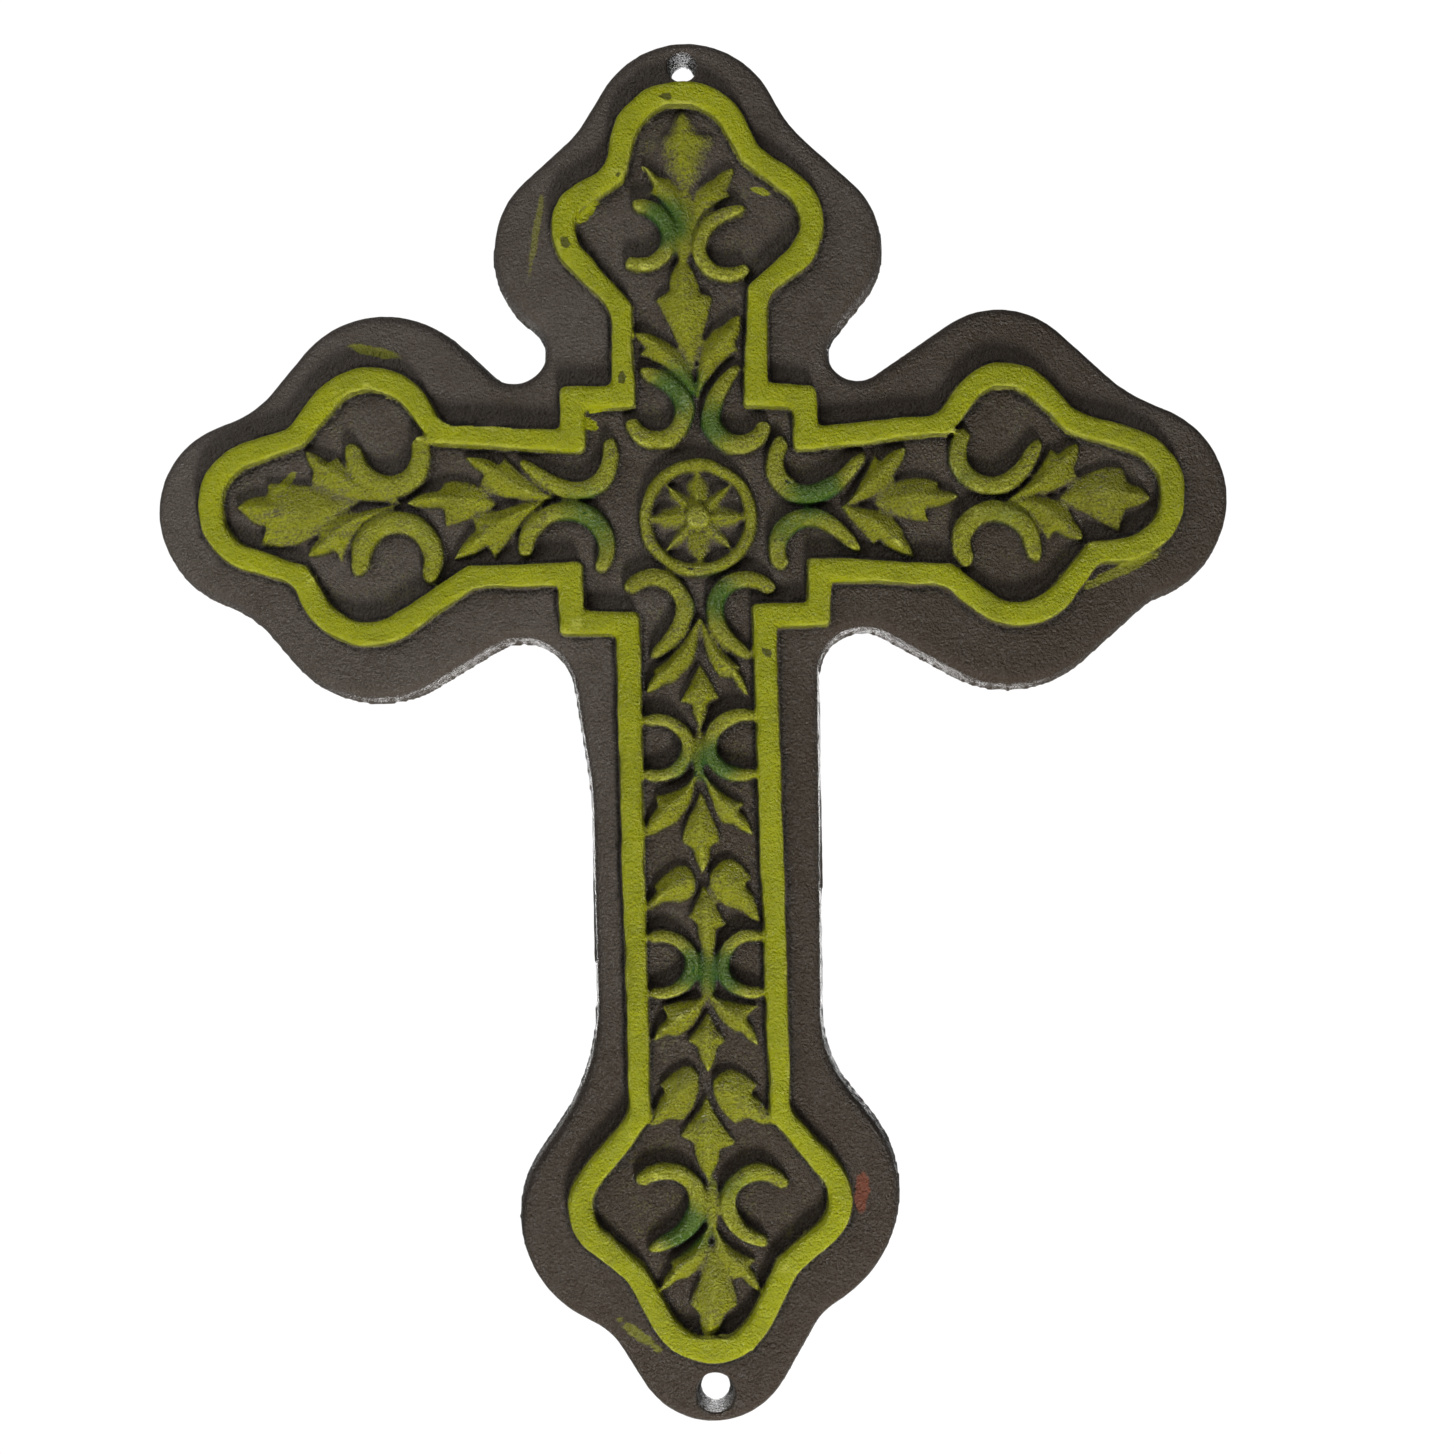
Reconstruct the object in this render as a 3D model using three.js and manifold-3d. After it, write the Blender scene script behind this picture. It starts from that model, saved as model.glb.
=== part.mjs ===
// Wall cross cast in one piece of iron: a drafted plate with trefoil ends, a raised band that follows the
// outline, a medallion at the crossing and sprays of scrolls and toothed leaves on the four arms.
// Millimetres. The casting is drawn flat, x to the right, y up and z towards the viewer, and stood upright
// at the end. The origin is on the flat back, behind the centre of the medallion.
import * as THREE from 'three';
import { mergeVertices } from 'three/addons/utils/BufferGeometryUtils.js';
import Module from 'manifold-3d';

// Heights above the back
const PLATE_THICKNESS = 7;
const RELIEF_SINK = 1;
const BAND_HEIGHT = 2.8;
const SCROLL_HEIGHT = 2.3;
const LEAF_HEIGHT = 2.4;
const LEAF_EDGE_HEIGHT = 0.8;

// The plate's wall from back to front: how far it draws in, and at what height
const PLATE_WALL = [
  { inset: 0, height: 0 },
  { inset: 1.2, height: 5.8 },
  { inset: 2.4, height: PLATE_THICKNESS },
];

// Band
const BAND_WIDTH = 5.2;
const BAND_ROUNDING = 1.1;
const BAND_CUSP_RADIUS = 1.6;

// Medallion at the crossing
const RING_RADIUS = 11.3;
const RING_HALF_WIDTH = 1.6;
const RING_HEIGHT = 2.2;
// the ring's upper section: shares of its half width and of its height
const RING_CROWN = [
  [0.85, 0.68],
  [0.4, 1],
  [-0.4, 1],
  [-0.85, 0.68],
];
const RING_SIDES = 28;
const STAR_POINTS = 8;
const STAR_LONG = { reach: 10, halfWidth: 2.4 };
const STAR_SHORT = { reach: 9.4, halfWidth: 1.3 };
const BOSS_RADIUS = 2.7;
const BOSS_HEIGHT = 2.6;
const BOSS_SHOULDER = { radius: 0.6, height: 0.92 };
const BOSS_WALL = 0.65;
const BOSS_SIDES = 16;

// Screw holes, wider at the front
const HOLES = [
  { x: -1.8, y: 96.8, frontRadius: 3.3, backRadius: 2.4 },
  { x: 0.4, y: -187, frontRadius: 4.4, backRadius: 3 },
];
const HOLE_SIDES = 24;
const HOLE_OVERRUN = 1;

// Fineness of the arcs
const OUTLINE_ARC_STEP = Math.PI / 10;
const SCROLL_STEPS = 9;
const WELD_DISTANCE = 1e-4;

const IRON_PAINT = { color: 0x4a423c, roughness: 0.55, metalness: 0.35 };

// The arcs of a closed outline that runs anticlockwise: a lobe bulges out, a hollow bends in and a corner
// is sharp
const lobe = (x, y, radius) => ({ x, y, radius, turn: 1 });
const hollow = (x, y, radius) => ({ x, y, radius, turn: -1 });
const corner = (x, y) => ({ x, y, radius: 0, turn: 1 });

const PLATE_OUTLINE = [
  // right arm, upper side, and the top arm
  lobe(92.9, 2.9, 21.8),
  hollow(109.3, 51.6, 29.4),
  lobe(64.9, 25, 20.3),
  hollow(34.8, 36.2, 5.7),
  lobe(23.2, 59.2, 17.9),
  hollow(42.9, 101.6, 26.6),
  lobe(-1.3, 81.7, 21.8),
  hollow(-41.6, 97.8, 20.9),
  lobe(-23.5, 58.8, 20.3),
  hollow(-39.1, 37.3, 6.2),
  // left arm
  lobe(-66.9, 22.3, 23.8),
  hollow(-107, 42.6, 19.9),
  lobe(-96.4, 3.4, 20.5),
  hollow(-111.4, -38.2, 23.6),
  lobe(-69.4, -13.3, 24.7),
  hollow(-38.6, -36.4, 10.8),
  // foot
  hollow(-84.6, -62, 60),
  hollow(-68.8, -103, 44.5),
  lobe(-16.8, -149.5, 24.8),
  hollow(-32.5, -185.5, 14.3),
  lobe(0.1, -176.3, 18.3),
  hollow(33, -179.9, 11.9),
  lobe(13.6, -145.1, 27.8),
  hollow(49.8, -106.6, 24.4),
  // right arm, lower side
  hollow(35, -33.5, 9),
  lobe(66.6, -12.2, 25.2),
  hollow(102.1, -26.4, 8.8),
];

const BAND_OUTLINE = [
  // right arm, upper side
  lobe(89.2, 3.4, 14.7),
  hollow(87.2, 30.4, 10.8),
  lobe(65.7, 18.6, 13.2),
  hollow(48, 26.5, 5.9),
  corner(25.8, 19.2),
  corner(25.6, 27.6),
  corner(15.2, 28.2),
  // top arm
  hollow(20.6, 44.6, 4.9),
  lobe(14.7, 62.4, 13.2),
  hollow(18.2, 82.2, 5.2),
  lobe(-2.4, 77.7, 15.4),
  hollow(-23.8, 78.4, 5.9),
  lobe(-19.1, 61.7, 11.3),
  hollow(-25.5, 41.2, 7.8),
  corner(-18, 28.6),
  corner(-29, 28.4),
  corner(-29, 19.4),
  // left arm
  hollow(-50.5, 25.5, 5.4),
  lobe(-69.6, 18.6, 14.7),
  hollow(-89.7, 25.5, 5.4),
  lobe(-92.1, 3.9, 14.4),
  hollow(-89.7, -16.2, 4.2),
  lobe(-70.4, -10.6, 15.7),
  hollow(-45.4, -22.2, 8),
  corner(-30, -14.2),
  corner(-30, -24.7),
  corner(-18, -25),
  // foot
  hollow(-23.9, -124, 6.9),
  lobe(-18.1, -146.5, 12.2),
  hollow(-22.5, -166.3, 5.9),
  lobe(0, -165.6, 14.5),
  hollow(23, -165.1, 5.9),
  lobe(17.6, -145.5, 12.7),
  hollow(24.4, -124, 6.9),
  corner(16.3, -23.8),
  corner(27.8, -23.8),
  corner(28.1, -14.3),
  // right arm, lower side
  hollow(49.5, -21.6, 6.4),
  lobe(68.1, -9.6, 14.7),
  hollow(86.7, -14.2, 3),
];

// A pair of scrolls: the distance of their centres along the arm and from its axis, their size, and how far
// they open at the outer end
const SCROLL_FLARE = 0.38;
const SLIM_FLARE = 0.12;
const scrolls = (at, spread, radius, halfWidth, flare = SCROLL_FLARE) => (
  { at, spread, radius, halfWidth, flare }
);
// A pair of side leaves: where they leave the axis, and where their tips are along and beside it
const leaves = (root, tip, spread, arched = false) => ({ root, tip, spread, arched });
// The leaf on the axis
const heart = (root, tip, halfWidth) => ({ root, tip, halfWidth });

// Each arm points along its angle, and its sprays stand one after the other from the medallion outwards
const ARMS = [
  {
    angle: -Math.PI / 2,
    sprays: [
      {
        axis: -0.4,
        scrolls: scrolls(19.1, 10.3, 8.1, 1.7),
        leaves: leaves(26.3, 37.8, 10.8),
        heart: heart(29.4, 44.8, 4.2),
      },
      {
        axis: -0.6,
        scrolls: scrolls(49, 8.1, 6.4, 1.4, SLIM_FLARE),
        leaves: leaves(54.7, 67.3, 11.4),
        heart: heart(58.2, 75.8, 4.3),
      },
      {
        axis: -0.2,
        leaves: leaves(78.4, 84.6, 11.8, true),
        heart: heart(77.6, 92.8, 4.2),
      },
      {
        axis: 0,
        scrolls: scrolls(95.6, 8.6, 6.2, 1.4, SLIM_FLARE),
        leaves: leaves(102, 111.7, 11.7),
        heart: heart(103.2, 118, 4.2),
      },
      {
        axis: 0,
        leaves: leaves(121, 129.5, 12.8, true),
        heart: heart(121.2, 141.5, 5.5),
      },
      {
        axis: 0.4,
        scrolls: scrolls(147.2, 9.9, 7.6, 1.9),
        leaves: leaves(153.2, 164.9, 10.6),
        heart: heart(157, 175.4, 5.1),
      },
    ],
  },
  {
    angle: Math.PI,
    sprays: [
      {
        axis: -3.6,
        scrolls: scrolls(25.4, 8.8, 7.8, 1.9),
        leaves: leaves(32.8, 50.5, 10.8),
        heart: heart(43.6, 59.8, 4.7),
      },
      {
        axis: -4.1,
        scrolls: scrolls(64.8, 10.4, 7.1, 1.9),
        leaves: leaves(64.3, 82.6, 10.8),
        heart: heart(73.9, 99.3, 6),
      },
    ],
  },
  {
    angle: 0,
    sprays: [
      {
        axis: 2,
        scrolls: scrolls(23.5, 9.3, 8, 1.9),
        leaves: leaves(31.9, 45.3, 11),
        heart: heart(38.1, 55.9, 4.4),
      },
      {
        axis: 2.8,
        scrolls: scrolls(63, 9.3, 7.4, 1.9),
        leaves: leaves(67.8, 81.7, 10.2),
        heart: heart(76.9, 96.3, 6.2),
      },
    ],
  },
  {
    angle: Math.PI / 2,
    sprays: [
      {
        axis: 0.3,
        scrolls: scrolls(21.3, 9.2, 7, 1.9),
        leaves: leaves(26.3, 41.1, 11.1),
        heart: heart(31.4, 55.3, 6.4),
      },
      {
        axis: 0.6,
        scrolls: scrolls(58.8, 9.5, 6.2, 1.8),
        leaves: leaves(63.4, 74.7, 9.6),
        heart: heart(70, 86.2, 6.2),
      },
    ],
  },
];

// A scroll opens away from the axis: it curls far round towards the medallion and runs out at its other end
const SCROLL_CURL = THREE.MathUtils.degToRad(135);
const SCROLL_RUN_OUT = THREE.MathUtils.degToRad(104);
const SCROLL_TAPER = 0.45;
const SCROLL_SHOULDER = { side: 0.75, height: 0.6 };

// Where the spine of a side leaf bends, as shares of its run along and beside the axis
const GROWING_BEND = { along: 0.6, beside: 0.3 };
const ARCHED_BEND = { along: -0.5, beside: 0.6 };

// Sections of a leaf from root to tip: shares of its length along the spine, widths as shares of its half
// width, and the height of the crest as a share of the leaf's height
const SIDE_LEAF = [
  { outer: [0, 0.14], inner: [0, 0.14], crest: [0, 0.55] },
  { outer: [0.34, 0.5], inner: [0.26, 0.75], crest: [0.26, 0.9] },
  { outer: [0.68, 1], inner: [0.6, 1], crest: [0.48, 1] },
  { outer: [0.66, 0.36], inner: [0.7, 0.45], crest: [0.67, 0.85] },
  { outer: [1, 0.08], inner: [1, 0.08], crest: [1, 0.4] },
];
const ARCHED_LEAF = [
  { outer: [0, 0.2], inner: [0, 0.2], crest: [0, 0.55] },
  { outer: [0.26, 0.85], inner: [0.26, 0.6], crest: [0.24, 0.9] },
  { outer: [0.64, 1.05], inner: [0.58, 0.85], crest: [0.5, 1] },
  { outer: [0.64, 0.5], inner: [0.7, 0.45], crest: [0.67, 0.85] },
  { outer: [1, 0.08], inner: [1, 0.08], crest: [1, 0.4] },
];
const HEART_LEAF = [
  { outer: [0, 0.12], inner: [0, 0.12], crest: [0, 0.55] },
  { outer: [0.2, 0.42], inner: [0.2, 0.42], crest: [0.2, 0.9] },
  { outer: [0.62, 1], inner: [0.62, 1], crest: [0.46, 1] },
  { outer: [0.65, 0.54], inner: [0.65, 0.54], crest: [0.66, 0.9] },
  { outer: [1, 0.08], inner: [1, 0.08], crest: [1, 0.4] },
];
const STAR_POINT = [
  { outer: [0, 0.3], inner: [0, 0.3], crest: [0, 0.8] },
  { outer: [0.36, 1], inner: [0.36, 1], crest: [0.36, 0.8] },
  { outer: [1, 0.12], inner: [1, 0.12], crest: [1, 0.45] },
];
const SIDE_LEAF_SLENDERNESS = 0.21;

const wasm = await Module();
wasm.setup();

/** Heading of the straight run from one arc of a chain to the next, tangent to both. */
function headingBetween(from, to) {
  const span = new THREE.Vector2(to.x - from.x, to.y - from.y);
  const lean = (to.turn * to.radius - from.turn * from.radius) / span.length();
  return span.angle() - Math.asin(THREE.MathUtils.clamp(lean, -1, 1));
}

/** The headings at which a chain enters and leaves each of its arcs, and the angle it turns through. */
function turnsOf(chain) {
  const headings = chain.map((arc, i) => headingBetween(arc, chain[(i + 1) % chain.length]));
  return chain.map((arc, i) => {
    const entering = headings.at(i - 1);
    const leaving = headings[i];
    const sweep = arc.turn * THREE.MathUtils.euclideanModulo(arc.turn * (leaving - entering), 2 * Math.PI);
    return { entering, leaving, sweep };
  });
}

/** The direction out of the shape, to the right of a heading. */
function outwards(heading) {
  return new THREE.Vector2(Math.sin(heading), -Math.cos(heading));
}

/** How a sharp corner moves when both of its edges move out by one. */
function mitreOf(entering, leaving) {
  const first = outwards(entering);
  const last = outwards(leaving);
  return first.clone().add(last).divideScalar(1 + first.dot(last));
}

/** Points round a chain moved out by an offset. Every offset of a chain gives the same number of points. */
function traceChain(chain, offset = 0) {
  return turnsOf(chain).flatMap(({ entering, leaving, sweep }, i) => {
    const { x, y, radius, turn } = chain[i];
    const centre = new THREE.Vector2(x, y);
    if (radius === 0) {
      return [centre.addScaledVector(mitreOf(entering, leaving), offset)];
    }
    const steps = Math.max(2, Math.round(Math.abs(sweep) / OUTLINE_ARC_STEP));
    return Array.from({ length: steps + 1 }, (_, step) => {
      const heading = entering + (sweep * step) / steps;
      return centre.clone().addScaledVector(outwards(heading), turn * radius + offset);
    });
  });
}

/** The inner edge of a band: its lobes drawn in by the width, and its hollows sharpened into cusps. */
function innerEdge(chain, width, cuspRadius) {
  return turnsOf(chain).map(({ entering, sweep, leaving }, i) => {
    const arc = chain[i];
    if (arc.turn < 0) {
      const inwards = outwards(entering + sweep / 2).negate();
      const shift = arc.radius + width - cuspRadius;
      return hollow(arc.x + inwards.x * shift, arc.y + inwards.y * shift, cuspRadius);
    }
    if (arc.radius > 0) {
      return lobe(arc.x, arc.y, arc.radius - width);
    }
    const mitre = mitreOf(entering, leaving);
    return corner(arc.x - mitre.x * width, arc.y - mitre.y * width);
  });
}

/** A closed body through a row of sections of equally many points, with the given end faces. */
function loft(sections, endFaces) {
  const count = sections[0].length;
  const positions = sections.flat().flatMap((point) => point.toArray());
  const faces = [];
  for (let row = 0; row + 1 < sections.length; row += 1) {
    for (let i = 0; i < count; i += 1) {
      const next = (i + 1) % count;
      const near = row * count;
      const far = near + count;
      faces.push(near + i, near + next, far + next, near + i, far + next, far + i);
    }
  }
  const lastRow = (sections.length - 1) * count;
  for (const [a, b, c] of endFaces) {
    faces.push(a, c, b, lastRow + a, lastRow + b, lastRow + c);
  }
  const geometry = new THREE.BufferGeometry();
  geometry.setAttribute('position', new THREE.Float32BufferAttribute(positions, 3));
  geometry.setIndex(faces);
  return geometry;
}

/** Triangles that fan out from the first corner of a section. */
function fan(count) {
  return Array.from({ length: count - 2 }, (_, i) => [0, i + 1, i + 2]);
}

/** The plate, drawn in from the back to the rounded front edge. */
function plate() {
  const rings = PLATE_WALL.map(({ inset, height }) => (
    traceChain(PLATE_OUTLINE, -inset).map((point) => new THREE.Vector3(point.x, point.y, height))
  ));
  const face = THREE.ShapeUtils.triangulateShape(traceChain(PLATE_OUTLINE), []);
  return loft(rings, face);
}

/** The raised band between its outer edge and its inner one. */
function band() {
  const shape = new THREE.Shape(traceChain(BAND_OUTLINE));
  const inner = innerEdge(BAND_OUTLINE, BAND_WIDTH, BAND_CUSP_RADIUS);
  shape.holes.push(new THREE.Path(traceChain(inner)));
  const geometry = new THREE.ExtrudeGeometry(shape, {
    depth: RELIEF_SINK + BAND_HEIGHT - 2 * BAND_ROUNDING,
    bevelThickness: BAND_ROUNDING,
    bevelSize: BAND_ROUNDING,
    bevelOffset: -BAND_ROUNDING,
    bevelSegments: 1,
  });
  return geometry.translate(0, 0, PLATE_THICKNESS - RELIEF_SINK + BAND_ROUNDING);
}

/** A point of the relief, beside a spine and above the plate. */
function reliefPoint(spine, left, side, height) {
  return new THREE.Vector3(spine.x + left.x * side, spine.y + left.y * side, PLATE_THICKNESS + height);
}

/** One scroll of a pair, a rounded ridge on an arc that opens away from the axis. */
function scroll({ at, spread, radius, halfWidth, flare }, axis, side) {
  const arc = (share) => {
    const angle = THREE.MathUtils.lerp(-SCROLL_CURL, SCROLL_RUN_OUT, share);
    const reach = radius * (1 + flare * Math.max(0, angle / SCROLL_RUN_OUT) ** 3);
    const beside = spread - reach * Math.cos(angle);
    return new THREE.Vector2(at + reach * Math.sin(angle), axis + side * beside);
  };
  const nudge = 1 / (4 * SCROLL_STEPS);
  const sections = Array.from({ length: SCROLL_STEPS + 1 }, (_, step) => {
    const share = step / SCROLL_STEPS;
    const spine = arc(share);
    const ahead = arc(share + nudge).sub(arc(share - nudge)).normalize();
    const left = new THREE.Vector2(-ahead.y, ahead.x);
    const fullness = 1 - SCROLL_TAPER * Math.abs(2 * share - 1) ** 3;
    const width = halfWidth * fullness;
    const height = SCROLL_HEIGHT * fullness;
    return [
      reliefPoint(spine, left, width, -RELIEF_SINK),
      reliefPoint(spine, left, SCROLL_SHOULDER.side * width, SCROLL_SHOULDER.height * height),
      reliefPoint(spine, left, 0, height),
      reliefPoint(spine, left, -SCROLL_SHOULDER.side * width, SCROLL_SHOULDER.height * height),
      reliefPoint(spine, left, -width, -RELIEF_SINK),
    ];
  });
  return loft(sections, fan(sections[0].length));
}

/** A toothed leaf on a spine. Its outer edge is to the left of the spine where side is positive. */
function leaf(spine, profile, halfWidth, side) {
  const edge = ([share, width], sign, height) => {
    const ahead = spine.getTangent(share);
    const left = new THREE.Vector2(-ahead.y, ahead.x);
    return reliefPoint(spine.getPoint(share), left, sign * width * halfWidth, height);
  };
  const sections = profile.map(({ outer, inner, crest }) => {
    const left = side > 0 ? outer : inner;
    const right = side > 0 ? inner : outer;
    return [
      edge(left, 1, -RELIEF_SINK),
      edge(left, 1, LEAF_EDGE_HEIGHT),
      edge([crest[0], 0], 1, crest[1] * LEAF_HEIGHT),
      edge(right, -1, LEAF_EDGE_HEIGHT),
      edge(right, -1, -RELIEF_SINK),
    ];
  });
  return loft(sections, fan(sections[0].length));
}

/** One side leaf of a pair. */
function sideLeaf({ root, tip, spread, arched }, axis, side) {
  const bend = arched ? ARCHED_BEND : GROWING_BEND;
  const profile = arched ? ARCHED_LEAF : SIDE_LEAF;
  const run = tip - root;
  const spine = new THREE.QuadraticBezierCurve(
    new THREE.Vector2(root, axis),
    new THREE.Vector2(root + bend.along * run, axis + side * bend.beside * spread),
    new THREE.Vector2(tip, axis + side * spread),
  );
  return leaf(spine, profile, SIDE_LEAF_SLENDERNESS * spine.getLength(), side);
}

/** The leaf on the axis of a spray. */
function heartLeaf({ root, tip, halfWidth }, axis) {
  const spine = new THREE.LineCurve(new THREE.Vector2(root, axis), new THREE.Vector2(tip, axis));
  return leaf(spine, HEART_LEAF, halfWidth, 1);
}

/** The scrolls and leaves of one spray, drawn along the x axis. */
function spray({ axis, scrolls: pair, leaves: sides, heart: middle }) {
  const parts = [heartLeaf(middle, axis)];
  for (const side of [1, -1]) {
    parts.push(sideLeaf(sides, axis, side));
    if (pair) {
      parts.push(scroll(pair, axis, side));
    }
  }
  return parts;
}

/** All sprays of the four arms, each turned to its arm. */
function sprays() {
  return ARMS.flatMap(({ angle, sprays: row }) => (
    row.flatMap(spray).map((geometry) => geometry.rotateZ(angle))
  ));
}

/** The ring round the medallion, turned from a rounded section. */
function medallionRing() {
  const ringPoint = (side, height) => (
    new THREE.Vector2(RING_RADIUS + side * RING_HALF_WIDTH, PLATE_THICKNESS + height)
  );
  const profile = [
    ringPoint(-1, -RELIEF_SINK),
    ringPoint(1, -RELIEF_SINK),
    ...RING_CROWN.map(([side, share]) => ringPoint(side, share * RING_HEIGHT)),
    ringPoint(-1, -RELIEF_SINK),
  ];
  return new THREE.LatheGeometry(profile, RING_SIDES).rotateX(Math.PI / 2);
}

/** The points of the star inside the ring, long and short by turns. */
function medallionStar() {
  return Array.from({ length: STAR_POINTS }, (_, i) => {
    const { reach, halfWidth } = i % 2 === 0 ? STAR_LONG : STAR_SHORT;
    const tip = new THREE.Vector2(reach, 0);
    const spine = new THREE.LineCurve(new THREE.Vector2(0, 0), tip);
    return leaf(spine, STAR_POINT, halfWidth, 1).rotateZ((i * 2 * Math.PI) / STAR_POINTS);
  });
}

/** The domed boss in the middle of the medallion. */
function medallionBoss() {
  const bossPoint = (radius, height) => (
    new THREE.Vector2(radius * BOSS_RADIUS, PLATE_THICKNESS + height)
  );
  const profile = [
    bossPoint(0, -RELIEF_SINK),
    bossPoint(1, -RELIEF_SINK),
    bossPoint(1, BOSS_WALL * BOSS_HEIGHT),
    bossPoint(BOSS_SHOULDER.radius, BOSS_SHOULDER.height * BOSS_HEIGHT),
    bossPoint(0, BOSS_HEIGHT),
  ];
  return new THREE.LatheGeometry(profile, BOSS_SIDES).rotateX(Math.PI / 2);
}

/** A cutter for one tapered screw hole, carried past both faces. */
function holeCutter({ x, y, frontRadius, backRadius }) {
  const slope = (frontRadius - backRadius) / PLATE_THICKNESS;
  const length = PLATE_THICKNESS + 2 * HOLE_OVERRUN;
  const front = frontRadius + slope * HOLE_OVERRUN;
  const back = backRadius - slope * HOLE_OVERRUN;
  const cutter = new THREE.CylinderGeometry(front, back, length, HOLE_SIDES);
  return cutter.rotateX(Math.PI / 2).translate(x, y, PLATE_THICKNESS / 2);
}

/** A solid for joining and cutting, from a closed geometry. */
function solidOf(geometry) {
  const bare = geometry.clone();
  bare.deleteAttribute('normal');
  bare.deleteAttribute('uv');
  const welded = mergeVertices(bare, WELD_DISTANCE);
  return new wasm.Manifold(new wasm.Mesh({
    numProp: 3,
    vertProperties: new Float32Array(welded.attributes.position.array),
    triVerts: new Uint32Array(welded.index.array),
  }));
}

/** The geometry of a solid. */
function geometryOf(solid) {
  const { vertProperties, triVerts } = solid.getMesh();
  const geometry = new THREE.BufferGeometry();
  geometry.setAttribute('position', new THREE.BufferAttribute(vertProperties, 3));
  geometry.setIndex(new THREE.BufferAttribute(triVerts, 1));
  geometry.computeVertexNormals();
  return geometry;
}

/** The whole casting: the relief joined to the plate, with the holes cut through. */
function casting() {
  const relief = [band(), ...sprays(), medallionRing(), ...medallionStar(), medallionBoss()];
  const joined = relief.map(solidOf).reduce((whole, part) => whole.add(part), solidOf(plate()));
  const drilled = HOLES.map(holeCutter).map(solidOf).reduce((whole, hole) => whole.subtract(hole), joined);
  return geometryOf(drilled);
}

const cross = new THREE.Group();
cross.name = 'wall_cross';
const crossCasting = new THREE.Mesh(casting(), new THREE.MeshStandardMaterial(IRON_PAINT));
crossCasting.name = 'cross_casting';
crossCasting.rotation.x = Math.PI / 2;
cross.add(crossCasting);

export default cross;
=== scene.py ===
"""Painted cast-iron wall cross: the casting's form and its hand-painted finish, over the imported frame."""

import logging
import math
from contextlib import contextmanager
from dataclasses import dataclass
from enum import Enum
from typing import Iterator, Sequence

import bpy
import numpy as np
from mathutils import Euler, Matrix, Vector


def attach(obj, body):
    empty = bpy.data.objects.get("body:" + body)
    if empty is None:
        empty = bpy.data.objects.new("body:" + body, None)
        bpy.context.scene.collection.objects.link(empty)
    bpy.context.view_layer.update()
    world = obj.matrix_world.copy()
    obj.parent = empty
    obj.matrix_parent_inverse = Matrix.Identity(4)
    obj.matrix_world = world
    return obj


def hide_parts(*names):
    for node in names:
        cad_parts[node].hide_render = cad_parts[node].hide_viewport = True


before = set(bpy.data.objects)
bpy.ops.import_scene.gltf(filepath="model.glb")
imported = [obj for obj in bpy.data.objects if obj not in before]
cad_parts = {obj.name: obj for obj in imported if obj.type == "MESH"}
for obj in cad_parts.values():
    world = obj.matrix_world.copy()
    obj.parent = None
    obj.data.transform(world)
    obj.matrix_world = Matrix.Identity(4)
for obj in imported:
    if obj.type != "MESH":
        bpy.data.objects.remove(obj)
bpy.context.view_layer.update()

LOG = logging.getLogger("wall_cross")
NODE = "cross_casting"
RELIEF_GROUP = "relief"

# The casting is modelled flat on a bench, in millimetres, x right, y up and z towards the viewer
MM = 0.001
PLATE_THICKNESS = 7.0
RELIEF_SINK = 1.0
ARC_STEP = math.pi / 36

Point = tuple[float, float]
Colour = tuple[float, float, float, float]


class Turn(Enum):
    """How an arc of an outline that runs anticlockwise bends."""

    LOBE = 1
    HOLLOW = -1
    CORNER = 0


@dataclass(frozen=True)
class Arc:
    """One arc of an outline: its centre, its radius and the way it bends."""

    x: float
    y: float
    radius: float
    turn: Turn

    @property
    def bend(self) -> float:
        """The radius, negative where the outline bends in."""
        return self.radius * self.turn.value


def lobe(x: float, y: float, radius: float) -> Arc:
    """An arc that bulges out."""
    return Arc(x, y, radius, Turn.LOBE)


def hollow(x: float, y: float, radius: float) -> Arc:
    """An arc that bends in."""
    return Arc(x, y, radius, Turn.HOLLOW)


def corner(x: float, y: float) -> Arc:
    """A sharp corner."""
    return Arc(x, y, 0.0, Turn.CORNER)


def outwards(heading: float) -> np.ndarray:
    """The direction out of the shape, to the right of a heading."""
    return np.array([math.sin(heading), -math.cos(heading)])


def mitre(entering: float, leaving: float) -> np.ndarray:
    """How a sharp corner moves when both of its edges move out by one."""
    first, last = outwards(entering), outwards(leaving)
    return (first + last) / (1 + first @ last)


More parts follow.
